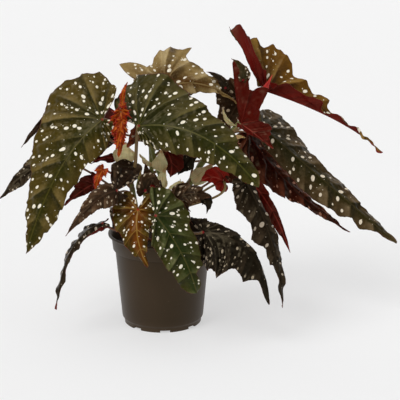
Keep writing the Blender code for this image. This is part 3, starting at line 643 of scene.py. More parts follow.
@dataclass
class LeafMaker:
    """Builds one blade's mesh."""

    blade: Blade
    length: float = field(init=False)
    random: np.random.RandomState = field(init=False)

    def __post_init__(self) -> None:
        """Measure the midrib and start the blade's own random draws."""
        self.random = np.random.RandomState(self.blade.seed)
        points, _ = self.arch(np.linspace(0.0, 1.0, 25))
        self.length = float(np.linalg.norm(np.diff(points, axis=0), axis=1).sum())

    def arch(self, u: np.ndarray) -> tuple[np.ndarray, np.ndarray]:
        """Follow the midrib's arch.

        Args:
            u: Shares of its run from stalk to tip.

        Returns:
            The points and the directions there.
        """
        base, bend, tip = (np.array(point, float) for point in
                           (self.blade.base, self.blade.bend, self.blade.tip))
        u = np.asarray(u, float)[..., None]
        point = (1.0 - u) ** 2 * base + 2.0 * u * (1.0 - u) * bend + u * u * tip
        return point, unit((1.0 - u) * (bend - base) + u * (tip - bend))

    def midrib(self, p: np.ndarray) -> tuple[np.ndarray, np.ndarray, np.ndarray]:
        """Give the midrib's frame.

        Args:
            p: Distances from the stalk, below zero behind it.

        Returns:
            The points, the directions and the upward normals.
        """
        point, along = self.arch(np.maximum(p / self.length, 0.0))
        face = np.array(self.blade.face, float)
        up = unit(face - (along @ face)[..., None] * along)
        return point + np.minimum(p, 0.0)[..., None] * along, along, up

    def margin(self, half: Half) -> np.ndarray:
        """Give the flat margin of a half, from behind the stalk round its lobe to the tip."""
        lobe = half.lobe * half.width
        a = 0.5 * math.pi * np.arange(ARC_STEPS) / ARC_STEPS
        back = np.stack((-half.heel * np.sin(a),
                         lobe * (0.6 * (1.0 - np.cos(a)) + 0.4 * np.sin(a))), 1)
        fore = np.stack((-half.heel + (half.shoulder + half.heel) * (1.0 - np.cos(a)),
                         lobe + (half.width - lobe) * np.sin(a)), 1)
        x = np.arange(2 * ARC_STEPS + 1) / (2.0 * ARC_STEPS)
        run = np.stack((half.shoulder + (self.length - half.shoulder) * x,
                        half.width * (1.0 - x) ** half.taper
                        * (1.0 + half.taper * x * np.exp(-8.0 * x))), 1)
        return np.vstack((back, fore, run))

    def rows(self, half: Half, row: np.ndarray) -> tuple[np.ndarray, np.ndarray, np.ndarray]:
        """Give the flat start and end of rows, two for each side vein.

        Args:
            half: The half of the blade.
            row: Row numbers, which may lie between two rows.

        Returns:
            Where each row starts on the midrib, and the two flat coordinates of its end.
        """
        margin = self.margin(half)
        run = np.concatenate(([0.0], np.cumsum(np.linalg.norm(np.diff(margin, axis=0), axis=1))))
        past = [k for k, (p, q) in enumerate(margin) if k > ARC_STEPS and p > VEIN_SLOPE * q][0]
        fan, ladder = 2 * self.blade.veins[0], 2 * self.blade.veins[1]
        at = run[past] * (half.sinus + (1.0 - half.sinus) * np.minimum(row, fan) / fan)
        p_fan, q_fan = (np.interp(at, run, margin[:, k]) for k in (0, 1))
        x = np.maximum(row - fan, 0.0) / ladder
        p_out = margin[past, 0] + (self.length - margin[past, 0]) * x
        q_out = np.interp(p_out, margin[past:, 0], margin[past:, 1])
        start = self.length * x
        p_end, q_end = np.where(row > fan, p_out, p_fan), np.where(row > fan, q_out, q_fan)
        share = np.interp(row, *zip(*half.reach))
        return start, start + (p_end - start) * share, q_end * share

    def notch(self, row: np.ndarray, reach: np.ndarray) -> np.ndarray:
        """Give how deep the margin is notched.

        Args:
            row: Row numbers.
            reach: The rows' lengths.

        Returns:
            The notches' depths as shares of the rows.
        """
        past_vein = np.mod(row, 2.0) / 2.0
        tooth = np.where(past_vein < 0.12, ease(past_vein / 0.12),
                         np.clip(1.0 - (past_vein - 0.12) / 0.88, 0.0, 1.0) ** 1.2)
        bay = np.sin(math.pi * past_vein) ** 0.8
        uneven = 0.75 + 0.5 * np.sin(np.floor(row / 2.0) * 2.3 + self.blade.seed)
        depth = (self.blade.jag * tooth + self.blade.bay * bay) * uneven
        depth = depth + self.blade.fine * (0.5 + 0.5 * np.sin(5.0 * math.pi * row + self.blade.seed))
        depth = depth + 0.2 * np.sin(row * 9.7)
        return np.clip(depth / np.maximum(reach, 6.0) * np.minimum(reach / 12.0, 1.0), 0.0, 0.6)

    def ridges(self, row: np.ndarray, share: np.ndarray) -> np.ndarray:
        """Give how high the blade stands: it climbs to each vein and drops past it, no two alike.

        Args:
            row: Row numbers.
            share: Shares of a row, from midrib to margin.

        Returns:
            The heights over rows and shares.
        """
        past_vein = np.mod(row, 2.0) / 2.0
        drop = 0.38 + 0.12 * np.sin(np.floor(row / 2.0) * 2.9 + self.blade.seed)
        climb = np.clip((past_vein - drop) / (1.0 - drop), 0.0, 1.0) ** 1.3
        rise = np.where(past_vein < drop, ease(1.0 - past_vein / drop), climb)
        uneven = 0.85 + 0.45 * np.sin(1.83 * row + self.blade.seed)
        finer = 0.24 * np.sin(math.pi * row * 1.5 + self.blade.seed) + 0.1 * np.sin(math.pi * row * 3.3)
        drift = 1.0 + 0.4 * np.sin(7.3 * share[None, :] + 1.37 * row[:, None])
        return ((rise - 0.35) * uneven + finer)[:, None] * drift

    def puckers(self, p: np.ndarray, q: np.ndarray) -> np.ndarray:
        """Give small uneven rises, the same for the same flat place."""
        rise = np.zeros_like(p)
        draws = np.random.RandomState(self.blade.seed + 99)
        for wavelength in (23.0, 17.0, 13.0, 9.0, 7.0, 5.5):
            turn, phase = draws.uniform(0.0, 2.0 * math.pi, 2)
            k = 2.0 * math.pi / wavelength
            rise += wavelength / 17.0 * np.sin(k * (p * math.cos(turn) + q * math.sin(turn)) + phase)
        return 0.36 * rise

    def lay(self, half: Half, side: int, row: np.ndarray, share: np.ndarray) -> dict:
        """Lay a grid of a half in space.

        Args:
            half: The half of the blade.
            side: +1 where it lies to the right of the midrib, -1 to the left.
            row: The grid's row numbers.
            share: The grid's shares of a row, from midrib to margin.

        Returns:
            The points and the flat coordinates, as arrays over rows and shares.
        """
        blade = self.blade
        start, p_end, q_end = self.rows(half, row)
        reach = np.hypot(p_end - start, q_end)
        notch = self.notch(row, reach)[:, None]
        run = share[None, :] * (1.0 - notch * share[None, :] ** 3)
        p = start[:, None] + (p_end - start)[:, None] * run
        q = q_end[:, None] * run
        point, along, up = self.midrib(p)
        across = np.cross(along, up) * side
        if half.fold_heel is None:
            fold = half.fold + (half.fold_tip - half.fold) * ease(p / self.length)
        else:
            ahead = half.fold + (half.fold_tip - half.fold) * ease(p / self.length)
            behind = half.fold + (half.fold_heel - half.fold) * ease(-p / half.heel)
            fold = np.where(p > 0.0, ahead, behind)
        angle = np.radians(fold + half.curl * q / half.width)[..., None]
        place = point + q[..., None] * (across * np.cos(angle) - up * np.sin(angle))
        normal = up * np.cos(angle) + across * np.sin(angle)
        arch = np.abs(np.sin(0.5 * math.pi * row)) ** 0.7
        outward = np.minimum(reach / 30.0, 1.0)
        swell = np.sin(0.5 * math.pi * np.minimum(share / 0.45, 1.0)) * (1.0 - 0.4 * ease(share * 2.0 - 1.0))
        lift = 2.7 * blade.pleat * self.ridges(row, share) * outward[:, None] * swell[None, :]
        lift += blade.wave * share ** 2 * np.sin(0.5 * math.pi * row + side)[:, None]
        lift += (blade.ruffle * share ** 4 * np.sin(2.0 * math.pi * blade.ruffle_rate * row
                                                   + blade.seed)[:, None])
        ribs = np.sin(2.0 * math.pi * (share[None, :] * reach[:, None]) / 7.0 + row[:, None])
        lift += 0.16 * arch[:, None] * ribs * np.sin(math.pi * share)[None, :]
        lift += self.puckers(p, q * side) * np.minimum(4.0 * share, 1.0)[None, :]
        place = place + up * lift[..., None]
        for roll in blade.rolls:
            if roll.wide == (half is blade.wide):
                place = self.rolled(place, normal, row, share, roll)
        return {"place": place, "p": p, "q": q, "reach": reach}

    def rolled(self, place: np.ndarray, normal: np.ndarray, row: np.ndarray, share: np.ndarray,
               roll: Roll) -> np.ndarray:
        """Roll a stretch of margin over.

        Args:
            place: The grid's points.
            normal: The upward normals there.
            row: The grid's row numbers.
            share: The grid's shares of a row.
            roll: The stretch and how it rolls.

        Returns:
            The new points.
        """
        strength = np.exp(-((row - roll.row) / roll.spread) ** 2)[:, None]
        theta = math.radians(roll.turn) * strength * ease((share - roll.start)
                                                         / (1.0 - roll.start))[None, :]
        steps = np.diff(place, axis=1, prepend=place[:, :1])
        size = np.linalg.norm(steps, axis=2)
        outward = unit(place[:, -1] - place[:, 0])[:, None, :]
        inward = np.cumsum((np.cos(theta) - 1.0) * size, axis=1)[..., None]
        upward = np.cumsum(np.sin(theta) * size, axis=1)[..., None]
        return place + outward * inward + normal * upward

    def spot_list(self, half: Half) -> np.ndarray:
        """Draw a half's pale spots, in rows between the side veins.

        Args:
            half: The half of the blade.

        Returns:
            For each spot its flat centre, its long direction and its two radii.
        """
        total = 2 * sum(self.blade.veins)
        found = []
        scale = self.blade.spots
        draw = self.random.uniform
        for between in range(1, total, 2):
            start, p_end, q_end = (float(value[0]) for value in
                                   self.rows(half, np.array([float(between)])))
            reach = math.hypot(p_end - start, q_end)
            before, after = (self.rows(half, np.array([between + step])) for step in (-1.0, 1.0))
            width = math.hypot(float(after[1][0] - before[1][0]), float(after[2][0] - before[2][0]))
            at = max(5.0, 0.16 * reach) + draw(0.0, 5.0)
            while at < 0.95 * reach:
                share = at / reach
                local = width * share if start == 0.0 else 0.5 * width * (1.0 + share)
                pair = share > 0.5 and local > 11.0 * scale
                for shift in ((-0.4, 0.36) if pair else (0.0,)):
                    if draw() < 0.18:
                        continue
                    spread = 0.16 if pair else 0.3
                    row = np.array([between + shift + draw(-spread, spread)])
                    s, e_p, e_q = (float(value[0]) for value in self.rows(half, row))
                    along = share + draw(-0.05, 0.05)
                    radius = min(2.2 * scale, 0.17 * local + 0.45) * draw(0.62, 1.1)
                    radius = max(radius * (0.72 if pair else 1.0), 0.8)
                    found.append((s + (e_p - s) * along, e_q * along,
                                  math.atan2(e_q, e_p - s), radius * draw(1.1, 1.4), radius * 0.84))
                    if draw() < 0.25:
                        turn, away, small = draw(0.0, 6.28), radius + draw(1.4, 3.0), draw(0.55, 0.95)
                        found.append((found[-1][0] + away * math.cos(turn),
                                      found[-1][1] + away * math.sin(turn), 0.0, small, small))
                at += draw(7.5, 11.0) * scale
        return np.array(found) if found else np.zeros((0, 5))

    @staticmethod
    def spot_distance(p: np.ndarray, q: np.ndarray, spots: np.ndarray) -> np.ndarray:
        """Give the distance to the nearest spot's edge, below zero inside it.

        Args:
            p: Flat coordinates along the midrib.
            q: Flat coordinates away from it.
            spots: The spots, as spot_list gives them.

        Returns:
            The distances in millimetres, at most 3.
        """
        nearest = np.full(p.shape, 3.0)
        for centre_p, centre_q, turn, long, short in spots:
            dp, dq = p - centre_p, q - centre_q
            u = (dp * math.cos(turn) + dq * math.sin(turn)) / long
            v = (dq * math.cos(turn) - dp * math.sin(turn)) / short
            nearest = np.minimum(nearest, (np.sqrt(u * u + v * v) - 1.0) * short)
        return nearest

    def sheet(self) -> Sheet:
        """Build the surface in the middle of the blade's thickness."""
        blade = self.blade
        total = 2 * sum(blade.veins)
        longest = max(self.rows(half, np.arange(total + 1.0))[2].max() + half.heel * 0.3
                      for half in (blade.wide, blade.narrow))
        sub = max(4, round((self.length + longest * 1.6) / blade.spacing / total))
        row = np.arange(total * sub + 1) / sub
        fan_rows = 2 * blade.veins[0] * sub
        spine_rows = total * sub - fan_rows
        start = self.rows(blade.wide, row)[0]
        spine = self.arch(np.concatenate(([0.0], start[fan_rows + 1:])) / self.length)[0]
        spine_flat = np.concatenate(([0.0], start[fan_rows + 1:]))
        points, flats, veins, spots = [spine], [np.stack((spine_flat, 0 * spine_flat,
                                                          0 * spine_flat), 1)], [], []
        spine_count = np.concatenate(([0.0], row[fan_rows + 1:])) / 2.0
        veins.append(np.stack((spine_count, 0 * spine_count, 0 * spine_count + 9.0), 1))
        spots.append(np.full(len(spine), 3.0))
        rims = [np.zeros(len(spine))]
        triangles = []
        offset = len(spine)
        for half, side in ((blade.wide, blade.wide_side.value), (blade.narrow, -blade.wide_side.value)):
            widest = float(np.hypot(self.rows(half, row)[1] - self.rows(half, row)[0],
                                    self.rows(half, row)[2]).max())
            columns = max(4, round(widest / blade.spacing))
            share = np.linspace(0.0, 1.0, columns + 1)
            grid = self.lay(half, side, row, share)
            place, p, q = grid["place"][:-1, 1:], grid["p"][:-1, 1:], grid["q"][:-1, 1:]
            step_p, step_q = (np.gradient(grid[key], row, axis=0)[:-1, 1:] for key in ("p", "q"))
            pitch = 2.0 * np.hypot(step_p, step_q)
            size = place.shape[:2]
            points.append(place.reshape(-1, 3))
            flats.append(np.stack((p, q * side, 0 * p), 2).reshape(-1, 3))
            count = np.broadcast_to(row[:-1, None] / 2.0, size)
            outs = np.broadcast_to(share[None, 1:], size)
            veins.append(np.stack((count, outs, pitch), 2).reshape(-1, 3))
            drawn = self.spot_list(half) if blade.spots > 0.0 else np.zeros((0, 5))
            spots.append(self.spot_distance(p, q, drawn).reshape(-1))
            rim = np.zeros(size)
            rim[:, -1] = 1.0
            rims.append(rim.reshape(-1))
            index = np.empty((len(row), columns + 1), int)
            index[:, 0] = np.concatenate((np.zeros(fan_rows + 1, int), 1 + np.arange(spine_rows)))
            index[:-1, 1:] = offset + np.arange(place[..., 0].size).reshape(size)
            index[-1, :] = spine_rows
            offset += place[..., 0].size
            a, b, c, d = index[:-1, :-1], index[:-1, 1:], index[1:, 1:], index[1:, :-1]
            made = np.concatenate((np.stack((a, b, c), 2).reshape(-1, 3),
                                   np.stack((a, c, d), 2).reshape(-1, 3)))
            whole = (made[:, 0] != made[:, 1]) & (made[:, 1] != made[:, 2]) & (made[:, 0] != made[:, 2])
            made = made[whole]
            triangles.append(made if side > 0 else made[:, ::-1])
        return Sheet(np.vstack(points), np.vstack(triangles), np.vstack(veins), np.vstack(flats),
                     np.concatenate(spots), np.concatenate(rims))

    def build(self) -> bpy.types.Object:
        """Build the blade as a closed mesh object with its attributes and finish."""
        sheet = self.sheet()
        count = len(sheet.points)
        normals = np.zeros_like(sheet.points)
        a, b, c = (sheet.points[sheet.triangles[:, k]] for k in range(3))
        flat = np.cross(b - a, c - a)
        for k in range(3):
            np.add.at(normals, sheet.triangles[:, k], flat)
        normals = unit(normals)
        shift = 0.5 * self.blade.thickness * normals
        points = np.vstack((sheet.points + shift, sheet.points - shift))
        starts = sheet.triangles.reshape(-1)
        ends = sheet.triangles[:, (1, 2, 0)].reshape(-1)
        lone = ~np.isin(starts * count + ends, ends * count + starts)
        s, e = starts[lone], ends[lone]
        faces = np.vstack((sheet.triangles, sheet.triangles[:, ::-1] + count,
                           np.stack((e, s, s + count), 1), np.stack((e, s + count, e + count), 1)))
        mesh = mesh_from(self.blade.name + "_blade", points * MM, faces)
        below = np.concatenate((np.zeros(count), np.ones(count)))
        add_attribute(mesh, "vein", np.vstack((sheet.vein, sheet.vein)))
        add_attribute(mesh, "flat", np.vstack((sheet.flat, sheet.flat)))
        add_attribute(mesh, "spot", np.concatenate((sheet.spot, sheet.spot)))
        add_attribute(mesh, "below", below)
        add_attribute(mesh, "rim", np.concatenate((sheet.rim, 0 * sheet.rim)))
        mesh.materials.append(material_of(self.blade.finish))
        return add_piece(mesh)


MATERIALS: dict[str, bpy.types.Material] = {}


def material_of(finish: object) -> bpy.types.Material:
    """Build a finish once and return its material each time."""
    if finish.name not in MATERIALS:
        MATERIALS[finish.name] = finish.build()
    return MATERIALS[finish.name]


def mesh_from(name: str, points: np.ndarray, triangles: np.ndarray) -> bpy.types.Mesh:
    """Make a smooth mesh from arrays.

    Args:
        name: The mesh's name.
        points: Points in metres.
        triangles: Three point numbers for each triangle.

    Returns:
        The mesh.
    """
    mesh = bpy.data.meshes.new(name)
    mesh.vertices.add(len(points))
    mesh.vertices.foreach_set("co", np.asarray(points, np.float32).reshape(-1))
    mesh.loops.add(3 * len(triangles))
    mesh.loops.foreach_set("vertex_index", np.asarray(triangles, np.int32).reshape(-1))
    mesh.polygons.add(len(triangles))
    mesh.polygons.foreach_set("loop_start", np.arange(0, 3 * len(triangles), 3, dtype=np.int32))
    mesh.update(calc_edges=True)
    mesh.shade_smooth()
    return mesh


def add_attribute(mesh: bpy.types.Mesh, name: str, values: np.ndarray) -> None:
    """Store a value for each point of a mesh.

    Args:
        mesh: The mesh.
        name: The attribute's name.
        values: One number or one vector for each point.
    """
    if values.ndim == 2:
        made = mesh.attributes.new(name, "FLOAT_VECTOR", "POINT")
        made.data.foreach_set("vector", values.astype(np.float32).reshape(-1))
    else:
        made = mesh.attributes.new(name, "FLOAT", "POINT")
        made.data.foreach_set("value", values.astype(np.float32))


def add_piece(mesh: bpy.types.Mesh) -> bpy.types.Object:
    """Put a mesh in the scene as an object of the same name."""
    made = bpy.data.objects.new(mesh.name, mesh)
    bpy.context.scene.collection.objects.link(made)
    return made


def bract(name: str, base: tuple, bend: tuple, tip: tuple, face: tuple, width: float,
          finish: PaperFinish = CREAM, slot: str = "bract_cream", fold: float = 0.0,
          curl: float = 30.0, full: float = 1.0) -> Blade:
    """Give a bract as a small blade with no lobes.

    Args:
        name: The node that it stands for.
        base: Its foot.
        bend: The point towards which it starts.
        tip: Its tip.
        face: The way its upper face looks.
        width: Half its width.
        finish: Its finish.
        slot: Its material slot.
        fold: How far its halves fold down.
        curl: How far its margins curl in.
        full: How much wider the dressed bract is past its foot.

    Returns:
        The blade.
    """
    far = math.dist(base, tip)
    half = Half(width, 0.5, 0.35 * far, fold, fold, reach=((0.0, 1.0), (2.0, full), (6.0, full)))
    rolls = (Roll(True, 4.0, 3.0, curl, 0.3), Roll(False, 4.0, 3.0, curl, 0.3))
    return Blade(name, base, bend, tip, face, half, half, Side.RIGHT, finish, slot, wave=0.4,
                 teeth=0.0, pleat=0.15, veins=(1, 2), jag=0.3, ruffle=0.35, ruffle_rate=0.45,
                 spots=0.0, spacing=0.96, thickness=0.35, rolls=rolls, seed=len(name))


DARK_GREEN_SLOT = "leaf_dark_green"
OLIVE_SLOT = "leaf_olive"
BRONZE_SLOT = "leaf_bronze"
MAROON_SLOT = "leaf_maroon"
RED_SLOT = "leaf_red"
ORANGE_SLOT = "leaf_young_orange"

LEAVES = (
    Blade("leaf_left_large", (-61, -38, 238), (-112, -54, 202), (-144, -58, 96), (-0.30, -0.85, 0.40),
          Half(62, 38, 24, 4, 10, 8, taper=1.15,
               reach=((0, 1.0), (1, 1.0), (2, 0.86), (3, 1.15), (3.3, 1.1), (4, 1.18), (4.5, 1.18),
                      (5, 1.28), (6, 1.21), (6.5, 1.2), (7, 1.15), (8, 1.08), (9, 1.22), (10, 1.2),
                      (10.9, 1.48), (11.1, 1.3), (12, 1.12), (13, 1.18), (14, 1.32), (15, 1.6),
                      (16, 1.1), (17, 1.8), (18, 1.5))),
          Half(26, 10, 40, 10, 20, 10, taper=0.8,
               reach=((0, 1.0), (11, 1.05), (12, 1.2), (13, 1.2), (14, 1.65), (15, 2.0), (16, 1.9),
                      (17, 2.8), (18, 2.0))), Side.RIGHT, OLIVE_LIT, OLIVE_SLOT, veins=(4, 5),
          wave=2.0, pleat=1.2, jag=2.6, bay=1.6, spacing=1.4, seed=3),
    Blade("leaf_centre_large", (-22, -52, 234), (49, -88, 251), (102, -98, 180), (0.05, -0.85, 0.45),
          Half(62, 33, 14, 4, 12, 8, taper=0.9,
               reach=((0, 1.0), (2, 1.0), (3, 1.12), (3.6, 1.04), (4, 1.14), (5, 1.04), (6, 1.0),
                      (7, 0.9), (8, 0.88), (9, 0.9), (10, 0.86), (11, 0.8), (12, 0.9), (13, 1.0),
                      (14, 0.88), (15, 0.98), (16, 1.08), (17, 1.6), (18, 1.5))),
          Half(29, 1, 45, 10, 20, 10, taper=0.8,
               reach=((0, 1.0), (11, 0.98), (12, 1.08), (13, 1.26), (14, 1.2), (15, 1.5), (16, 1.35),
                      (17, 1.8), (18, 1.5))), Side.LEFT, DEEP_GREEN, DARK_GREEN_SLOT, veins=(4, 5),
          wave=2.0, pleat=1.2, jag=2.4, bay=1.2, spacing=1.4, seed=5),
    Blade("leaf_top_bronze", (2, 12, 264), (49, 14, 278), (83, 22, 243), (0.0, -0.75, 0.65),
          Half(50, 38, 22, 0, 10, 10, taper=2.1, lobe=0.4,
               reach=((0, 0.7), (2.2, 0.8), (3, 1.44), (3.5, 1.2), (4, 0.72), (4.6, 0.78), (5, 0.88),
                      (5.5, 1.04), (5.7, 0.96), (6, 1.15), (6.8, 1.04), (7.1, 1.25), (7.3, 0.95),
                      (8, 0.86), (9, 1.0), (10, 0.82), (10.5, 1.35), (11, 1.5), (12, 0.6), (14, 1.0))),
          Half(14, 6, 20, 30, 30), Side.LEFT, BRONZE_PALE_LIT, BRONZE_SLOT, veins=(4, 3), pleat=2.0,
          jag=1.5, bay=1.0, ruffle=1.5, seed=7),
    Blade("leaf_top_right", (114, 4, 260), (198, -8, 234), (239, -20, 198), (0.25, 0.2, 0.9),
          Half(58, 60, -52, -50, -45, taper=2.2, lobe=0.9, fold_heel=-95, sinus=0.45,
               reach=((0, 1.03), (2.6, 1.0), (3, 0.73), (4, 0.62), (5, 0.72), (6, 0.45), (7, 0.75),
                      (8, 0.72), (9, 1.1), (16, 1.1))),
          Half(48, 40, -8, -70, -60, taper=2.2, lobe=0.9,
               reach=((0, 0.6), (2, 0.75), (3, 1.13), (4, 1.24), (4.4, 1.1), (5, 1.2), (5.6, 1.2),
                      (6, 1.03), (6.6, 1.1), (7, 1.0), (16, 1.0))), Side.RIGHT, BRONZE_GOLD,
          BRONZE_SLOT, veins=(4, 4), pleat=2.0, jag=2.5, bay=2.0, ruffle=2.2, spacing=1.6, seed=9),
    Blade("leaf_red_underside", (86, -16, 229), (104, -28, 218), (120, -36, 206), (0.1, 0.9, 0.1),
          Half(50, 48, -20, taper=1.1, lobe=0.6,
               reach=((0, 0.12), (2.6, 0.14), (2.76, 1.2), (3.1, 1.14), (3.5, 1.14), (3.65, 0.9),
                      (3.9, 0.76), (4.4, 0.95), (5.1, 1.65), (5.45, 1.0), (6, 0.8), (7, 1.25),
                      (8, 1.3), (9, 1.3), (9.4, 1.0), (12, 1.1))),
          Half(14, 8, 8, 60, 60, reach=((0, 0.5), (12, 0.5))), Side.RIGHT, RED_BACKED, RED_SLOT,
          jag=1.0, bay=0.5, pleat=1.0, spacing=1.05, seed=11),
    Blade("leaf_right_shaded", (86, 30, 247), (73, 28, 224), (55, 24, 191), (0.1, -0.95, 0.2),
          Half(31, 17, 0, taper=1.3), Half(16, 10, 8), Side.RIGHT, BROWN, MAROON_SLOT, seed=13),
    Blade("leaf_right_maroon", (95, 30, 208), (138, 38, 141), (213, 32, 93), (0.35, -0.7, 0.6),
          Half(30, 10, 30, 10, 10, reach=((0, 1.0), (11, 1.0), (12, 0.72), (13, 1.0), (14, 0.55),
                                         (15, 0.6), (16, 1.0))),
          Half(24, 6, 20, 10, 10), Side.RIGHT, MAROON, MAROON_SLOT,
          veins=(3, 5), pleat=1.6, jag=4.0, bay=1.0, ruffle=1.6, seed=15),
    Blade("leaf_right_large", (110, 14, 219), (178, -6, 163), (259, -14, 94), (0.40, -0.75, 0.50),
          Half(34, 8, 50, 30, 20, taper=0.9,
               reach=((0, 0.4), (5, 0.42), (6, 0.5), (7, 0.55), (8, 0.72), (10, 0.9), (11, 1.0),
                      (12, 1.05), (13, 1.2), (14, 0.88), (15, 1.4), (16, 1.05), (18, 1.2))),
          Half(22, 16, 30, 20, 20, taper=0.9,
               reach=((0, 1.0), (2, 1.2), (3, 2.0), (4, 2.1), (6, 1.5), (8, 1.38), (10, 1.15),
                      (12, 1.6), (14, 1.35), (16, 2.0), (18, 1.8))), Side.RIGHT,
          OLIVE_DARK, OLIVE_SLOT, veins=(3, 6), wave=2.0, pleat=1.0, jag=2.0, spots=1.15,
          spacing=1.29, rolls=(Roll(True, 7.0, 3.0, 70, 0.7),), seed=17),
    Blade("leaf_right_drooping", (91, -42, 171), (126, -64, 114), (131, -62, 36), (0.3, -0.8, 0.3),
          Half(20, 10, 24, 20, 20, taper=0.9,
               reach=((0, 1.0), (4, 1.05), (6, 1.12), (8, 0.9), (9, 1.35), (10, 1.1), (11, 0.65),
                      (12, 1.05), (13, 0.4), (14, 0.25), (15, 0.4), (16, 1.0))),
          Half(18, 6, 20, 20, 20, taper=0.9,
               reach=((0, 1.0), (4, 1.0), (5, 0.7), (6, 0.55), (7, 0.4), (8, 0.55), (9, 0.6),
                      (10, 0.9), (12, 1.05), (13, 1.4), (14, 1.3), (16, 1.2))), Side.RIGHT, SLATE,
          DARK_GREEN_SLOT, veins=(3, 5), wave=2.0, ruffle=1.6, jag=1.8, spots=1.15, seed=19),
    Blade("leaf_right_red", (93, -20, 170), (123, -34, 143), (140, -36, 90), (-0.2, 0.9, 0.2),
          Half(18, 8, 14), Half(10, 6, 10), Side.LEFT, RED_BACKED, RED_SLOT, veins=(2, 4), seed=21),
    Blade("leaf_low_right", (45, -78, 126), (104, -104, 132), (114, -105, 55), (0.2, -0.85, 0.4),
          Half(42, 6, 30, 6, 6, taper=0.9,
               reach=((0, 1.0), (4, 1.0), (5, 0.92), (6, 0.97), (6.8, 1.2), (8, 1.05), (9, 0.95),
                      (10, 1.02), (10.7, 1.3), (11, 1.15), (12, 0.55), (13, 0.85), (14, 1.0))),
          Half(15, 14, -4, 10, 10, taper=0.9, lobe=0.9,
               reach=((0, 1.0), (1, 1.25), (4, 1.1), (6, 0.88), (14, 1.0))), Side.RIGHT,
          BLACK, DARK_GREEN_SLOT, veins=(3, 4), jag=1.8, bay=1.0, pleat=1.0, seed=23),
    Blade("leaf_front_green", (-4, -88, 147), (27, -110, 117), (39, -108, 69), (0.1, -0.9, 0.40),
          Half(34, 26, 16, 8, 14, taper=0.7,
               reach=((0, 0.9), (3, 1.12), (4, 1.06), (5, 0.95), (7, 0.96), (8, 0.87), (9, 0.82),
                      (10, 0.9), (11, 0.96), (12, 0.98), (13, 1.2), (14, 0.5), (15, 1.15), (16, 1.3))),
          Half(25, 8, 34, 10, 16, taper=0.42,
               reach=((0, 0.35), (6, 0.35), (7, 0.62), (8, 0.95), (10, 0.92), (11, 1.0), (12, 1.06),
                      (14, 1.1), (15, 1.3), (16, 1.2))), Side.LEFT,
          FRONT_GREEN, DARK_GREEN_SLOT, veins=(4, 4), pleat=1.0, jag=1.6, bay=0.8, ruffle=1.2,
          spots=0.85, seed=25),
    Blade("leaf_front_bronze", (-23, -72, 149), (-28, -92, 122), (-12, -90, 92), (-0.1, -0.9, 0.4),
          Half(29, 22, 8, 10, 10, taper=0.9), Half(18, 20, 14, 10, 10, taper=0.9), Side.RIGHT,
          BRONZE_RED, BRONZE_SLOT, pleat=1.6, jag=1.8, bay=1.6, ruffle=1.6, spots=0.66, spacing=1.05, seed=27),
    Blade("leaf_left_middle", (-45, -70, 169), (-69, -92, 170), (-97, -96, 127), (-0.1, -0.9, 0.5),
          Half(30, 36, -10, 5, 10, taper=2.0, lobe=0.6,
               reach=((0, 2.2), (1, 1.4), (2, 1.3), (3, 1.28), (4, 1.03), (4.4, 0.8), (5, 0.45),
                      (6, 0.82), (7, 1.1), (8, 1.2), (9, 1.45), (10, 1.5), (11, 1.9), (12, 1.9),
                      (13, 1.8), (14, 1.5))),
          Half(15, 8, 14, 20, 20, reach=((0, 1.5), (1, 1.5), (2, 1.0), (9, 1.0), (10, 1.1))),
          Side.RIGHT, DUSKY, MAROON_SLOT, veins=(3, 4), spots=0.8, jag=1.6, seed=29),
    Blade("leaf_low_left", (-63, -44, 126), (-104, -64, 119), (-113, -60, 33), (-0.5, -0.5, 0.7),
          Half(22, 12, 20, 30, 30, reach=((0, 1.0), (8, 1.0), (9, 1.5), (12, 1.9), (14, 1.6))),
          Half(16, 8, 10, 30, 30,
               reach=((0, 0.9), (3, 1.0), (5, 0.9), (6, 0.7), (8, 0.6), (10, 0.8), (14, 1.0))),
          Side.RIGHT, SLATE, DARK_GREEN_SLOT, veins=(2, 5), ruffle=1.2,
          rolls=(Roll(False, 3.5, 2.5, 160, 0.4),), seed=31),
    Blade("leaf_far_left", (-129, 8, 183), (-156, 2, 169), (-179, 0, 141), (-0.2, -0.9, 0.4),
          Half(11, 6, 14),
          Half(9, 4, 14, reach=((0, 1.0), (5, 1.0), (6, 1.2), (8, 1.8), (10, 2.0), (12, 1.8))),
          Side.RIGHT, SLATE, MAROON_SLOT, veins=(2, 4), spots=0.7, jag=1.5, seed=33),
    Blade("leaf_left_sliver", (-118, 2, 240), (-138, -2, 221), (-153, 0, 199), (-0.3, 0.9, 0.1),
          Half(7, 3, 10), Half(4, 2, 8), Side.RIGHT, DARK_BACKED, RED_SLOT, veins=(1, 3), jag=1.0,
          seed=35),
    Blade("leaf_left_red", (-73, -24, 164), (-87, -28, 159), (-105, -28, 141), (-0.2, 0.9, 0.2),
          Half(16, 8, 6), Half(8, 4, 8), Side.LEFT, RED_BACKED, RED_SLOT, veins=(2, 3), seed=37),
    Blade("leaf_young_upper", (-41, -46, 249), (-38, -62, 229), (-43, -62, 203), (0.0, -0.95, 0.3),
          Half(15, 8, 8, taper=0.8, reach=((0, 0.7), (5, 0.8), (12, 0.85))),
          Half(12, 6, 10, taper=0.8, reach=((0, 0.8), (5, 0.9), (6, 1.3), (10, 1.4), (12, 1.0))),
          Side.LEFT, ORANGE, ORANGE_SLOT, teeth=4.0, wave=2.5, pleat=3.0, jag=4.5, bay=4.5, fine=3.0,
          ruffle=3.2, ruffle_rate=1.3, spots=0.0, spacing=0.64, seed=39),
    Blade("leaf_young_lower", (-61, -44, 185), (-67, -54, 178), (-69, -52, 164), (0.1, -0.9, 0.3),
          Half(8, 6, 4), Half(7, 4, 4), Side.RIGHT, ORANGE, ORANGE_SLOT, teeth=2.5, veins=(2, 3),
          jag=2.0, bay=2.0, fine=1.4, ruffle=1.0, spots=0.0, spacing=0.64, seed=41),
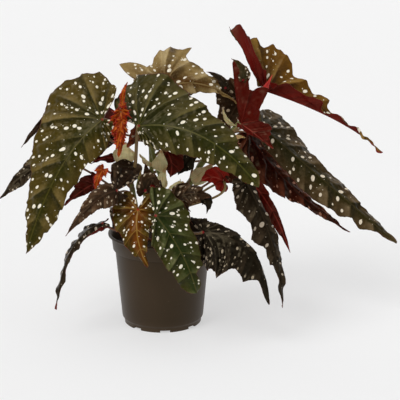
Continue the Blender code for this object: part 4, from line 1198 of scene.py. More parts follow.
    Blade("leaf_inner_red", (6, -13, 198), (14, -19, 188), (10, -17, 170), (0.1, 0.9, 0.1),
          Half(14, 6, 8, reach=((0, 1.0), (4, 1.1), (5, 1.5), (7, 1.5), (8, 1.0))),
          Half(10, 6, 8, reach=((0, 1.0), (4, 1.1), (5, 1.6), (7, 1.6), (8, 1.0))),
          Side.RIGHT, RED_BACKED, RED_SLOT, veins=(2, 2), jag=1.2, seed=43),
    Blade("leaf_inner_dark", (33, -6, 191), (25, -10, 183), (18, -12, 171), (0.1, -0.9, 0.2),
          Half(9, 5, 6, reach=((0, 1.0), (4, 1.2), (7, 1.3))),
          Half(6, 4, 6, reach=((0, 1.0), (3, 1.2), (4, 1.8), (7, 1.8), (8, 1.2))),
          Side.RIGHT, BLACK, MAROON_SLOT, veins=(2, 2), spots=0.6, jag=1.0, seed=45),
    Blade("leaf_front_small", (15, -58, 152), (25, -64, 171), (54, -66, 161), (0.1, -0.85, 0.5),
          Half(16, 8, 12, 10, 10, reach=((0, 1.0), (6, 1.2), (7, 0.9), (8, 1.3), (10, 1.6), (12, 1.5))),
          Half(10, 6, 10, 20, 20, reach=((0, 1.0), (3, 1.5), (4, 1.3), (5, 1.7), (6, 1.5), (7, 1.8),
                                        (8, 1.5), (9, 2.1), (12, 2.2))), Side.RIGHT, BROWN,
          MAROON_SLOT, veins=(3, 3), spots=0.75, ruffle=1.2, pleat=1.4, spacing=0.96, seed=47),
    Blade("leaf_inner_spotted", (-16, -50, 163), (-11, -52, 187), (0, -56, 169), (0.0, -0.9, 0.4),
          Half(8, 5, 6, reach=((0, 1.7),)), Half(6, 4, 5, reach=((0, 1.8),)), Side.RIGHT, BROWN,
          MAROON_SLOT, veins=(2, 2), spots=0.6, jag=1.0, spacing=0.96, seed=49),
    Blade("leaf_inner_bright_red", (68, -34, 169), (55, -30, 179), (42, -26, 167), (0.0, 0.9, 0.2),
          Half(12, 8, 5, reach=((0, 1.1),)),
          Half(8, 5, 6, reach=((0, 1.2), (2, 1.3), (3, 1.7), (7, 1.7), (8, 1.2))),
          Side.RIGHT, BRIGHT_RED, RED_SLOT, veins=(2, 2), jag=1.2, spacing=1.05, seed=51),
    Blade("leaf_rim_left", (-44, -40, 142), (-51, -56, 144), (-50, -60, 124), (-0.3, -0.9, 0.4),
          Half(9, 6, 5), Half(8, 6, 5), Side.RIGHT, SLATE, MAROON_SLOT, veins=(2, 2), spots=0.7,
          jag=1.0, spacing=0.96, seed=53),
    Blade("leaf_left_brown", (-53, -14, 218), (-61, -24, 211), (-72, -26, 188), (0.2, -0.9, 0.2),
          Half(7, 4, 6, reach=((0, 1.5),)), Half(6, 3, 6, reach=((0, 1.6),)), Side.RIGHT, BROWN,
          MAROON_SLOT, veins=(1, 3), spots=0.5, jag=1.0, seed=55),
    Blade("leaf_left_red_small", (-50, -26, 193), (-61, -30, 197), (-75, -30, 188), (0.0, 0.9, 0.3),
          Half(6, 4, 6), Half(5, 3, 6), Side.RIGHT, RED_BACKED, RED_SLOT, veins=(1, 3), jag=1.0,
          seed=57),
    Blade("leaf_inner_copper", (-9, -30, 225), (-22, -34, 224), (-36, -34, 207), (0.0, -0.8, -0.5),
          Half(12, 6, 8, reach=((0, 1.5),)), Half(8, 5, 8, reach=((0, 1.6),)), Side.RIGHT, COPPER,
          BRONZE_SLOT, veins=(2, 3), spots=0.6, jag=1.5, seed=59),
    Blade("leaf_back_left", (-66, 50, 212), (-94, 72, 250), (-122, 96, 172), (-0.3, 0.75, 0.6),
          Half(28, 16, 18, 10, 20), Half(18, 8, 22, 10, 20), Side.LEFT, OLIVE_LIT, OLIVE_SLOT,
          spacing=1.55, seed=61),
    Blade("leaf_back_middle", (-12, 62, 218), (-12, 124, 262), (-8, 168, 196), (0.1, 0.5, 0.85),
          Half(44, 24, 20, 10, 20), Half(22, 8, 26, 10, 20), Side.RIGHT, DEEP_GREEN,
          DARK_GREEN_SLOT, pleat=1.2, spacing=1.65, seed=63),
    Blade("leaf_back_right", (115, 60, 184), (168, 84, 159), (216, 92, 111), (0.3, 0.8, 0.5),
          Half(20, 12, 20, 10, 20), Half(16, 8, 26, 10, 20), Side.LEFT, OLIVE_DARK,
          DARK_GREEN_SLOT, spacing=1.55, seed=65),
    Blade("leaf_back_top", (22, 44, 256), (44, 70, 286), (52, 112, 240), (0.5, 0.3, 0.8),
          Half(30, 18, 14, 10, 20), Half(16, 8, 16, 10, 20), Side.LEFT, DEEP_GREEN, OLIVE_SLOT,
          spacing=1.55, seed=67),
    Blade("leaf_back_low", (2, 66, 122), (8, 104, 130), (12, 118, 44), (0.1, 0.9, 0.4),
          Half(30, 16, 14, 10, 20), Half(18, 8, 16, 10, 20), Side.RIGHT, FRONT_GREEN,
          DARK_GREEN_SLOT, spacing=1.55, seed=69),
)


FILLERS = (
    Blade("flap_red_underside", (88, -13, 276), (91, -20, 291), (75, -15, 299), (0.1, -0.9, 0.3),
          Half(8, 3, 6, 10, 10), Half(6, 3, 6, 10, 10), Side.RIGHT, OLIVE_DARK, RED_SLOT,
          veins=(2, 3), spots=0.6, jag=1.0, pleat=1.2, spacing=0.88, seed=71),
    Blade("flap_right_shaded", (70, 26, 260), (64, 20, 276), (49, 20, 279), (0.0, -0.9, 0.3),
          Half(6, 3, 6, 10, 10), Half(5, 3, 6, 10, 10), Side.RIGHT, SLATE, MAROON_SLOT,
          veins=(2, 3), spots=0.5, jag=1.0, pleat=1.2, spacing=0.88, seed=73),
    Blade("leaf_star_red", (70, -31, 180), (78, -38, 178), (92, -36, 160), (0.1, -0.9, 0.3),
          Half(13, 7, 6, reach=((0, 1.0), (2, 0.5), (3, 1.1), (4, 0.6), (5, 1.0))),
          Half(11, 6, 6, reach=((0, 1.0), (2, 0.5), (3, 1.1), (4, 0.6), (5, 1.0))), Side.RIGHT,
          MAROON, MAROON_SLOT, veins=(2, 2), spots=0.5, pleat=1.6, jag=1.5, spacing=0.96, seed=75),
    Blade("curl_front_small", (46, -62, 159), (55, -66, 156), (49, -60, 141), (0.2, -0.9, 0.1),
          Half(8, 4, 5, 20, 20), Half(7, 4, 5, 20, 20), Side.RIGHT, BLACK, MAROON_SLOT,
          veins=(2, 2), spots=0.5, pleat=1.6, ruffle=1.5, jag=1.2, spacing=0.88, seed=77),
    Blade("leaf_inner_dusky", (-6, -38, 160), (-14, -46, 176), (-16, -44, 192), (0.1, -0.9, 0.2),
          Half(11, 6, 8), Half(10, 6, 8), Side.RIGHT, BROWN, MAROON_SLOT, veins=(2, 3),
          spots=0.6, pleat=1.2, jag=1.0, spacing=0.96, seed=79),
    Blade("leaf_inner_copper_low", (-10, -26, 226), (-20, -34, 222), (-2, -34, 208), (0.0, -0.9, -0.2),
          Half(12, 6, 8), Half(9, 6, 8), Side.RIGHT, COPPER, BRONZE_SLOT, veins=(2, 3),
          spots=0.5, pleat=1.2, jag=1.0, spacing=1.05, seed=81),
    Blade("leaf_young_lobe", (-40, -54, 240), (-40, -66, 228), (-45, -66, 212), (0.1, -0.9, 0.3),
          Half(8, 5, 5, taper=0.8), Half(8, 5, 5, taper=0.8), Side.LEFT, ORANGE, ORANGE_SLOT,
          wave=2.5, pleat=3.0, jag=4.0, bay=4.0, fine=3.0, ruffle=3.0, ruffle_rate=1.3, spots=0.0,
          spacing=0.64, seed=83),
    Blade("leaf_young_top", (-39, -38, 252), (-42, -34, 264), (-34, -32, 277), (0.1, -0.9, 0.3),
          Half(4, 3, 5, taper=0.8), Half(4, 3, 5, taper=0.8), Side.RIGHT, ORANGE, ORANGE_SLOT,
          veins=(2, 3), wave=2.0, pleat=2.0, jag=3.0, bay=3.0, fine=2.0, ruffle=2.0,
          ruffle_rate=1.3, spots=0.0, spacing=0.64, seed=85),
)


@dataclass(frozen=True)
class Stalk:
    """A leaf stalk: its blade, how high it leaves the cane, and how it leaves and arrives."""

    leaf: str
    height: float
    leave: tuple
    arrive: tuple | None = None
    reach: float = 0.4
    tint: float = 0.5
    girth: float = 1.0


@dataclass(frozen=True)
class Cane:
    """An upright stem: points on its axis from its foot up, its end radii, joints and stalks."""

    name: str
    path: tuple
    radii: tuple
    joints: tuple
    stalks: tuple


STALK_RADIUS = 1.45
STALK_RISE = 1.2
JOINT_SWELL = 0.22
JOINT_REACH = 5.0
CANE_STEP = 12.0

CANES = (
    Cane("cane_right", ((12, 4, 75), (12, 4, 100), (20, 2, 135), (42, 0, 178), (74, 2, 214),
                        (98, 3, 241), (108, -3, 256)), (4.2, 2.2), (118, 156, 214),
         (Stalk("leaf_top_right", 238, (0.8, 0.3, 0.5)),
          Stalk("leaf_red_underside", 205, (0.6, -0.6, 0.5), (0.7, 0.2, 0.6), tint=0.1),
          Stalk("leaf_right_large", 212, (0.7, 0.5, 0.5)),
          Stalk("leaf_right_maroon", 196, (0.6, 0.6, 0.4)),
          Stalk("leaf_right_shaded", 172, (-0.1, 1.0, -0.1), (0.3, -0.5, 0.8), reach=0.45),
          Stalk("leaf_right_drooping", 130, (0.5, -0.7, 0.5), tint=0.2),
          Stalk("leaf_right_red", 150, (0.8, 0.2, 0.4), tint=0.2),
          Stalk("leaf_inner_bright_red", 128, (0.6, -0.7, 0.5), tint=0.1),
          Stalk("leaf_inner_dark", 155, (0.2, -0.5, 0.6)),
         Stalk("leaf_star_red", 140, (0.6, -0.7, 0.5), tint=0.9))),
    Cane("cane_centre", ((2, -8, 75), (2, -8, 100), (3, -10, 140), (0, -12, 165), (-8, -8, 190),
                         (-14, 0, 225), (-10, 6, 245)), (3.0, 2.0), (112, 158, 205),
         (Stalk("leaf_top_bronze", 242, (0.2, 0.3, 0.9)),
          Stalk("leaf_inner_red", 190, (0.5, 0.5, 0.6)),
          Stalk("leaf_inner_copper", 212, (0.3, -0.6, 0.6)),
         Stalk("leaf_inner_copper_low", 208, (0.3, -0.6, 0.6)),
         Stalk("leaf_inner_dusky", 140, (-0.3, -0.8, 0.4), tint=0.8))),
    Cane("cane_left", ((-24, -14, 75), (-24, -14, 100), (-30, -20, 150), (-38, -26, 190),
                       (-42, -30, 225)), (3.4, 2.0), (120, 160, 195),
         (Stalk("leaf_left_large", 218, (-0.4, 0.3, 0.8)),
          Stalk("leaf_centre_large", 165, (0.3, -0.7, 0.6), tint=0.3, girth=1.5),
          Stalk("leaf_young_upper", 216, (0.0, -0.9, 0.2), (0.0, -0.1, 1.0)),
          Stalk("leaf_left_middle", 150, (-0.5, -0.5, 0.6), tint=0.6),
          Stalk("leaf_left_brown", 200, (0.2, 0.5, 0.8)),
          Stalk("leaf_left_red_small", 180, (-0.2, 0.2, 0.8)),
          Stalk("leaf_young_lower", 158, (-0.5, -0.3, 0.6), tint=0.9),
          Stalk("leaf_left_red", 135, (-0.7, 0.1, 0.6), tint=0.9),
          Stalk("leaf_left_sliver", 205, (-0.8, -0.2, 0.5)),
          Stalk("leaf_far_left", 140, (-0.8, 0.4, 0.5), tint=0.8))),
    Cane("cane_front", ((-4, -32, 75), (-4, -32, 100), (-12, -38, 135), (-20, -41, 168)),
         (2.8, 1.8), (116, 150),
         (Stalk("leaf_front_green", 118, (0.5, -0.8, 0.3), (-0.3, -0.8, 0.4)),
          Stalk("leaf_front_bronze", 142, (-0.2, -0.9, 0.1), tint=0.9),
          Stalk("leaf_low_right", 106, (0.7, -0.4, 0.5)),
          Stalk("leaf_front_small", 130, (0.8, -0.2, 0.5)),
          Stalk("leaf_inner_spotted", 146, (0.7, -0.5, 0.3), (-0.6, -0.5, 0.6)),
          Stalk("leaf_rim_left", 112, (-0.8, 0.1, 0.5)),
          Stalk("leaf_low_left", 100, (-0.9, 0.1, 0.4), tint=1.0))),
    Cane("cane_back", ((-8, 26, 75), (-8, 26, 100), (-12, 36, 150), (-14, 42, 200)),
         (3.4, 2.0), (114, 158),
         (Stalk("leaf_back_left", 190, (-0.5, 0.2, 0.8)),
          Stalk("leaf_back_middle", 195, (0.1, 0.3, 0.9)),
          Stalk("leaf_back_top", 180, (0.5, 0.1, 0.8)),
          Stalk("leaf_back_low", 108, (0.1, 0.7, 0.5)),
          Stalk("leaf_back_right", 160, (0.9, 0.2, 0.5)))),
)


@dataclass(frozen=True)
class BractSpot:
    """A bract's place on a cane, as in the part's source: height, outward side, bend, tip, width."""

    name: str
    cane: str
    height: float | None
    outward: tuple
    bend: tuple
    tip: tuple
    width: float
    curl: float = 40.0
    full: float = 1.5


BRACTS = (
    BractSpot("bract_left_large", "cane_left", 188, (0, -1, 0), (-3, -4, 14), (1, -3, 25), 10, -35, 1.3),
    BractSpot("bract_centre_large", "cane_centre", 176, (0, -1, 0), (4, -10, 12), (4, -9, 27), 8, -30, 1.1),
    BractSpot("bract_centre_left", "cane_centre", 184, (-1, -0.6, 0), (-9, -3, 2), (-15, -4, 12), 4, full=2.0),
    BractSpot("bract_middle", "cane_centre", 156, (-0.5, -1, 0), (-2, -3, 14), (6, -6, 27), 5, -30),
    BractSpot("bract_middle_right", "cane_centre", 152, (1, -0.3, 0), (10, -5, 16), (20, -8, 11), 5, full=2.0),
    BractSpot("bract_left_green", "cane_front", 158, (0, -1, 0), (-6, -4, 10), (-3, -2, 27), 4),
    BractSpot("bract_right", "cane_right", 162, (0.1, -1, 0), (14, -8, 8), (24, -8, 24), 7, -30),
    BractSpot("bract_upper_curled", "cane_right", 222, (-0.7, -0.6, 0), (-12, -6, 9), (-12, -9, 20), 4),
    BractSpot("bract_upper_ring", "cane_right", 196, (0, -1, 0), (20, -20, 24), (34, -16, 18), 4),
    BractSpot("bract_top", "cane_right", 246, (-0.3, -1, 0), (2, -9, 10), (12, -13, 20), 5, -40),
    BractSpot("bud_top", "cane_right", None, (0, 0, 1), (5, -6, 10), (11, -12, 25), 2.5, -60),
)


class NodeTree:
    """A Geometry Nodes tree with named inputs, and its use on a mesh."""

    def __init__(self, name: str) -> None:
        """Start a tree with a geometry input and output.

        Args:
            name: The tree's name.
        """
        self.tree = bpy.data.node_groups.new(name, "GeometryNodeTree")
        self.tree.interface.new_socket("Geometry", in_out="INPUT", socket_type="NodeSocketGeometry")
        self.tree.interface.new_socket("Geometry", in_out="OUTPUT", socket_type="NodeSocketGeometry")
        self.start = self.tree.nodes.new("NodeGroupInput")
        self.end = self.tree.nodes.new("NodeGroupOutput")
        self.keys: dict[str, str] = {}

    def named(self, name: str, kind: str) -> bpy.types.NodeSocket:
        """Add a named input.

        Args:
            name: Its name.
            kind: Blender's name of its type.

        Returns:
            The output of the group input that carries it.
        """
        made = self.tree.interface.new_socket(name, in_out="INPUT", socket_type=kind)
        self.keys[name] = made.identifier
        return self.start.outputs[name]

    def node(self, kind: str, settings: dict | None = None,
             sockets: dict | None = None) -> bpy.types.Node:
        """Add a node.

        Args:
            kind: Blender's name of the node type.
            settings: Its own settings.
            sockets: A value or output for each input, by name or place.

        Returns:
            The node.
        """
        made = self.tree.nodes.new(kind)
        for key, value in (settings or {}).items():
            setattr(made, key, value)
        for key, value in (sockets or {}).items():
            if isinstance(value, bpy.types.NodeSocket):
                self.tree.links.new(value, made.inputs[key])
            else:
                made.inputs[key].default_value = value
        return made

    def close(self, geometry: bpy.types.NodeSocket, material: bpy.types.NodeSocket) -> None:
        """End the tree.

        Args:
            geometry: The result so far.
            material: The input that carries the material.
        """
        real = self.node("GeometryNodeRealizeInstances", None, {0: geometry})
        painted = self.node("GeometryNodeSetMaterial", None, {0: real.outputs[0], "Material": material})
        self.tree.links.new(painted.outputs[0], self.end.inputs[0])

    def apply(self, source: bpy.types.Object, name: str, values: dict) -> bpy.types.Object:
        """Run the tree on an object and keep the result as a plain mesh in its place.

        Args:
            source: The object that it starts from, which is removed.
            name: The result's name.
            values: The named inputs' values.

        Returns:
            The new object.
        """
        modifier = source.modifiers.new(self.tree.name, "NODES")
        modifier.node_group = self.tree
        for key, value in values.items():
            modifier[self.keys[key]] = value
        evaluated = source.evaluated_get(bpy.context.evaluated_depsgraph_get())
        mesh = bpy.data.meshes.new_from_object(evaluated)
        mesh.name = name
        source.modifiers.clear()
        bpy.data.objects.remove(source, do_unlink=True)
        return add_piece(mesh)


class TubeTree(NodeTree):
    """Sweeps a round skin along lines, as wide as their radius attribute says."""

    def __init__(self) -> None:
        """Build the tree."""
        super().__init__("stem_tubes")
        sides = self.named("Sides", "NodeSocketInt")
        material = self.named("Material", "NodeSocketMaterial")
        curve = self.node("GeometryNodeMeshToCurve", None, {0: self.start.outputs[0]})
        circle = self.node("GeometryNodeCurvePrimitiveCircle", None, {"Resolution": sides, "Radius": 1.0})
        radius = self.node("GeometryNodeInputNamedAttribute", {"data_type": "FLOAT"},
                           {"Name": "radius"})
        tube = self.node("GeometryNodeCurveToMesh", None,
                         {"Curve": curve.outputs[0], "Profile Curve": circle.outputs[0],
                          "Scale": radius.outputs[0], "Fill Caps": True})
        smooth = self.node("GeometryNodeSetShadeSmooth", None, {0: tube.outputs[0]})
        self.close(smooth.outputs[0], material)


class ScatterTree(NodeTree):
    """Scatters small uneven grains over a surface."""

    def __init__(self) -> None:
        """Build the tree."""
        super().__init__("soil_crumbs")
        density = self.named("Density", "NodeSocketFloat")
        small = self.named("Smallest", "NodeSocketFloat")
        large = self.named("Largest", "NodeSocketFloat")
        seed = self.named("Seed", "NodeSocketInt")
        material = self.named("Material", "NodeSocketMaterial")
        points = self.node("GeometryNodeDistributePointsOnFaces", {"distribute_method": "RANDOM"},
                           {"Mesh": self.start.outputs[0], "Density": density, "Seed": seed})
        grain = self.node("GeometryNodeMeshIcoSphere", None, {"Radius": 1.0, "Subdivisions": 1})
        turn = self.node("FunctionNodeRandomValue", {"data_type": "FLOAT_VECTOR"},
                         {0: (0.0, 0.0, 0.0), 1: (6.28, 6.28, 6.28), "Seed": seed})
        size = self.node("FunctionNodeRandomValue", {"data_type": "FLOAT"},
                         {2: small, 3: large, "Seed": seed})
        squash = self.node("FunctionNodeRandomValue", {"data_type": "FLOAT_VECTOR"},
                           {0: (0.5, 0.6, 0.35), 1: (1.3, 1.5, 0.9), "Seed": seed})
        scale = self.node("ShaderNodeVectorMath", {"operation": "SCALE"},
                          {0: squash.outputs[0], "Scale": size.outputs[1]})
        placed = self.node("GeometryNodeInstanceOnPoints", None,
                           {"Points": points.outputs[0], "Instance": grain.outputs[0],
                            "Rotation": turn.outputs[0], "Scale": scale.outputs[0]})
        self.close(placed.outputs[0], material)


class FringeTree(NodeTree):
    """Stands short fine hairs on the points of a margin."""

    def __init__(self) -> None:
        """Build the tree."""
        super().__init__("leaf_fringe")
        length = self.named("Length", "NodeSocketFloat")
        seed = self.named("Seed", "NodeSocketInt")
        material = self.named("Material", "NodeSocketMaterial")
        points = self.node("GeometryNodeMeshToPoints", None, {0: self.start.outputs[0]})
        hair = self.node("GeometryNodeMeshCone", None,
                         {"Vertices": 3, "Radius Top": 0.0, "Radius Bottom": 0.11, "Depth": 1.0})
        way = self.node("GeometryNodeInputNamedAttribute", {"data_type": "FLOAT_VECTOR"},
                        {"Name": "way"})
        turn = self.node("FunctionNodeAlignRotationToVector", {"axis": "Z"},
                         {"Vector": way.outputs[0]})
        share = self.node("FunctionNodeRandomValue", {"data_type": "FLOAT"},
                          {2: 0.5, 3: 1.2, "Seed": seed})
        scale = self.node("ShaderNodeMath", {"operation": "MULTIPLY"},
                          {0: share.outputs[1], 1: length})
        placed = self.node("GeometryNodeInstanceOnPoints", None,
                           {"Points": points.outputs[0], "Instance": hair.outputs[0],
                            "Rotation": turn.outputs[0], "Scale": scale.outputs[0]})
        self.close(placed.outputs[0], material)


@dataclass
class Stems:
    """The canes with their leaf stalks: one skin for each cane node."""

    blades: dict
    sides: int = 14
    tree: TubeTree = field(default_factory=TubeTree)

    @staticmethod
    def smooth_path(points: tuple, step: float) -> list:
        """Follow a smooth curve through points.

        Args:
            points: The points.
            step: About how far apart the new points are.

        Returns:
            The new points.
        """
        points = [np.array(point, float) for point in points]
        padded = [2.0 * points[0] - points[1]] + points + [2.0 * points[-1] - points[-2]]
        path = []
        for before, start, end, after in zip(padded, padded[1:], padded[2:], padded[3:]):
            count = max(1, round(np.linalg.norm(end - start) / step))
            for k in range(count):
                t = k / count
                path.append(0.5 * (2.0 * start + (end - before) * t
                                   + (2.0 * before - 5.0 * start + 4.0 * end - after) * t ** 2
                                   + (3.0 * start - before - 3.0 * end + after) * t ** 3))
        return path + [points[-1]]

    @staticmethod
    def at_height(path: list, height: float) -> np.ndarray:
        """Find the point of a path at a height."""
        path = np.array(path)
        return np.array([np.interp(height, path[:, 2], path[:, k]) for k in range(3)])

    @staticmethod
    def radius_at(cane: Cane, height: float) -> float:
        """Give a cane's radius at a height, with its swollen joints."""
        low, high = cane.path[0][2], cane.path[-1][2]
        share = (height - low) / (high - low)
        swell = sum(math.exp(-((height - joint) / JOINT_REACH) ** 2) for joint in cane.joints)
        return (cane.radii[0] + (cane.radii[1] - cane.radii[0]) * share) * (1.0 + JOINT_SWELL * swell)

    def stalk_line(self, stalk: Stalk, path: list) -> list:
        """Lay a leaf stalk from its cane's axis into its blade.

        Args:
            stalk: The stalk.
            path: The cane's smooth path.

        Returns:
            The points that it follows.
        """
        maker = self.blades[stalk.leaf]
        base, along, up = (value[0] for value in maker.midrib(np.zeros(1)))
        arrive = unit(STALK_RISE * up + along if stalk.arrive is None else stalk.arrive)
        start = self.at_height(path, stalk.height)
        end = base - 0.25 * arrive
        reach = stalk.reach * np.linalg.norm(end - start)
        control = [start, start + reach * unit(stalk.leave), end - reach * arrive, end]
        steps = max(12, round(np.linalg.norm(end - start) / 2.0))
        line = []
        for k in range(steps + 1):
            t = k / steps
            line.append((1.0 - t) ** 3 * control[0] + 3.0 * t * (1.0 - t) ** 2 * control[1]
                        + 3.0 * t * t * (1.0 - t) * control[2] + t ** 3 * control[3])
        return line

    def build(self, cane: Cane) -> bpy.types.Object:
        """Build a cane and its stalks.

        Args:
            cane: The cane.

        Returns:
            The piece.
        """
        path = self.smooth_path(cane.path, 1.5)
        joint = [sum(math.exp(-((p[2] - at) / 2.4) ** 2) for at in cane.joints) for p in path]
        groove = [sum(0.16 * math.exp(-((p[2] - at) / 0.9) ** 2) for at in cane.joints) for p in path]
        radii = [self.radius_at(cane, p[2]) * (1.0 - g) for p, g in zip(path, groove)]
        radii[-1] *= 0.7
        lines = [(path, radii, 0.0, joint, 0.0)]
        coarse = self.smooth_path(cane.path, CANE_STEP)
        for stalk in cane.stalks:
            line = self.stalk_line(stalk, coarse)
            t = np.linspace(0.0, 1.0, len(line))
            radius = stalk.girth * STALK_RADIUS * (1.0 - 0.16 * np.sin(math.pi * t) + 0.3 * np.exp(-t * 9.0)
                                     + 0.12 * np.exp(-(1.0 - t) * 14.0))
            ends = 0.7 * np.exp(-t * 8.0)
            lines.append((line, list(radius), 1.0, list(ends), stalk.tint))
        points, edges, attributes = [], [], {"radius": [], "kind": [], "joint": [], "tint": []}
        for line, radius, kind, near, tint in lines:
            first = len(points)
            points += [point * MM for point in line]
            edges += [(first + k, first + k + 1) for k in range(len(line) - 1)]
            attributes["radius"] += [r * MM for r in radius]
            attributes["kind"] += [kind] * len(line)
            attributes["joint"] += near
            attributes["tint"] += [tint] * len(line)
        mesh = bpy.data.meshes.new(cane.name + "_lines")
        mesh.from_pydata(points, edges, [])
        for name, values in attributes.items():
            add_attribute(mesh, name, np.array(values))
        return self.tree.apply(add_piece(mesh), cane.name + "_stems",
                               {"Sides": self.sides, "Material": material_of(STEM)})

    def bract_blade(self, spot: BractSpot, cane: Cane) -> Blade:
        """Give a bract at its place on a cane.

        Args:
            spot: Its place and sizes.
            cane: The cane that it stands on.

        Returns:
            The bract as a blade.
        """
        gap, solid = 0.3, 0.7
        if spot.height is None:
            foot = np.array(cane.path[-1]) + (gap + solid) * unit(spot.outward)
            face = (0.0, -1.0, 0.2)
        else:
            path = self.smooth_path(cane.path, CANE_STEP)
            foot = self.at_height(path, spot.height)
            along = unit(self.at_height(path, spot.height + 1.0) - foot)
            side = unit(np.array(spot.outward) - np.dot(spot.outward, along) * along)
            foot = foot + (self.radius_at(cane, spot.height) + gap) * side
            face = spot.outward
        finish, slot = CREAM, "bract_cream"
        if spot.name == "bract_left_green":
            finish, slot = GREEN_PAPER, "bract_green"
        elif spot.name == "bud_top":
            finish, slot = RED_BUD, "bud_red"
        return bract(spot.name, tuple(foot), tuple(foot + spot.bend), tuple(foot + spot.tip), face,
                     spot.width, finish, slot, curl=spot.curl, full=spot.full)


@dataclass
class Pot:
    """The nursery pot: a turned shell with a flared lip, a notched foot ring and drain holes."""

    rim_radius: float = 60.0
    rim_height: float = 104.0
    collar_radius: float = 56.2
    collar_foot_radius: float = 54.8
    collar_foot_height: float = 85.5
    wall_top_radius: float = 52.4
    wall_foot_radius: float = 45.6
    wall_foot_height: float = 7.5
    foot_radius: float = 43.2
    foot_height: float = 5.0
    wall: float = 1.4
    floor_height: float = 3.2
    floor_thickness: float = 1.4
    ring_width: float = 4.5
    notches: int = 8
    notch_width: float = 11.0
    notch_height: float = 2.4
    notch_turn: float = 5.0
    drains: int = 6
    drain_radius: float = 4.0
    drain_circle: float = 29.0
    pad_radius: float = 9.0
    segments: int = 144

    def inner_radius(self, height: float) -> float:
        """Give the radius of the inner wall at a height below the rim's flare."""
        if height < self.collar_foot_height:
            run = self.collar_foot_height - self.wall_foot_height
            share = (height - self.wall_foot_height) / run
            width = self.wall_foot_radius + (self.wall_top_radius - self.wall_foot_radius) * share
            return width - self.wall
        share = (height - self.collar_foot_height) / (self.rim_height - 5.0 - self.collar_foot_height)
        width = self.collar_foot_radius + (self.collar_radius - self.collar_foot_radius) * share
        return width - self.wall

    def profile(self) -> list:
        """Give the shell's outline as radius and height, with its corners rounded."""
        top, collar = self.rim_height, self.collar_foot_height
        ring = self.foot_radius - self.ring_width
        floor_top = self.floor_height + self.floor_thickness
        lip = [(self.rim_radius + r, top + z) for r, z in
               ((-3.4, -4.3), (-2.0, -3.8), (-0.9, -3.2), (-0.15, -2.5), (0.0, -1.9), (0.0, -1.1),
                (-0.2, -0.5), (-0.7, -0.1), (-1.3, 0.0), (-2.0, -0.25), (-2.9, -1.2), (-4.2, -2.9))]
        inner = [(self.inner_radius(z), z) for z in
                 (top - 5.0, collar + 1.6, collar - 0.8, self.wall_foot_height + 0.6)]
        return ([(0.0, 0.0), (self.pad_radius, 0.0), (self.pad_radius, self.floor_height),
                 (ring, self.floor_height), (ring, 0.3), (ring + 0.3, 0.0),
                 (self.foot_radius - 0.3, 0.0), (self.foot_radius, 0.3),
                 (self.foot_radius + 0.2, self.foot_height - 0.4),
                 (self.foot_radius + 0.8, self.foot_height + 0.7),
                 (self.wall_foot_radius - 0.3, self.wall_foot_height - 0.5),
                 (self.wall_foot_radius + 0.05, self.wall_foot_height + 0.7),
                 (self.wall_top_radius, collar - 1.0), (self.wall_top_radius + 0.5, collar - 0.65),
                 (self.collar_foot_radius - 0.4, collar - 0.3),
                 (self.collar_foot_radius, collar + 0.2),
                 (self.collar_radius, top - 6.0), (self.collar_radius + 0.25, top - 5.0)]
                + lip + inner + [(self.foot_radius - self.wall, floor_top), (0.0, floor_top)])

    def turned(self, profile: list) -> bpy.types.Mesh:
        """Turn an outline that starts and ends on the axis into a closed mesh."""
        n = self.segments
        turn = 2.0 * math.pi * np.arange(n) / n
        points = [(0.0, 0.0, profile[0][1])]
        for radius, height in profile[1:-1]:
            points += [(radius * math.cos(t), radius * math.sin(t), height) for t in turn]
        points.append((0.0, 0.0, profile[-1][1]))
        faces = []
        rings = len(profile) - 2
        for k in range(n):
            after = (k + 1) % n
            faces.append((0, 1 + after, 1 + k))
            for ring in range(rings - 1):
                low, high = 1 + ring * n, 1 + (ring + 1) * n
                faces.append((low + k, low + after, high + after, high + k))
            last = 1 + (rings - 1) * n
            faces.append((last + k, last + after, len(points) - 1))
        mesh = bpy.data.meshes.new("pot_shell")
        mesh.from_pydata([tuple(c * MM for c in point) for point in points], [], faces)
        return mesh

    def cutter(self) -> bpy.types.Object:
        """Build the boxes and posts that cut the notches and the drain holes."""
        points, faces = [], []
        ring = self.foot_radius - self.ring_width
        for k in range(self.notches):
            turn = 2.0 * math.pi * k / self.notches + math.radians(90.0 + self.notch_turn)
            first = len(points)
            for x in (ring - 0.5 * self.ring_width, ring + 1.5 * self.ring_width):
                for y in (-0.5 * self.notch_width, 0.5 * self.notch_width):
                    for z in (-2.0, self.notch_height):
                        points.append((x * math.cos(turn) - y * math.sin(turn),
                                       x * math.sin(turn) + y * math.cos(turn), z))
            faces += [tuple(first + i for i in face) for face in
                      ((0, 1, 3, 2), (4, 6, 7, 5), (0, 4, 5, 1), (2, 3, 7, 6), (0, 2, 6, 4),
                       (1, 5, 7, 3))]
        sides = 28
        for k in range(self.drains):
            turn = 2.0 * math.pi * (k + 0.5) / self.drains
            first = len(points)
            for z in (self.floor_height - 1.0, self.floor_height + self.floor_thickness + 1.0):
                for i in range(sides):
                    t = 2.0 * math.pi * i / sides
                    points.append((self.drain_circle * math.cos(turn) + self.drain_radius * math.cos(t),
                                   self.drain_circle * math.sin(turn) + self.drain_radius * math.sin(t),
                                   z))
            faces += [(first + i, first + (i + 1) % sides, first + sides + (i + 1) % sides,
                       first + sides + i) for i in range(sides)]
            faces.append(tuple(first + i for i in reversed(range(sides))))
            faces.append(tuple(first + sides + i for i in range(sides)))
        mesh = bpy.data.meshes.new("pot_cutter")
        mesh.from_pydata([tuple(c * MM for c in point) for point in points], [], faces)
        return add_piece(mesh)

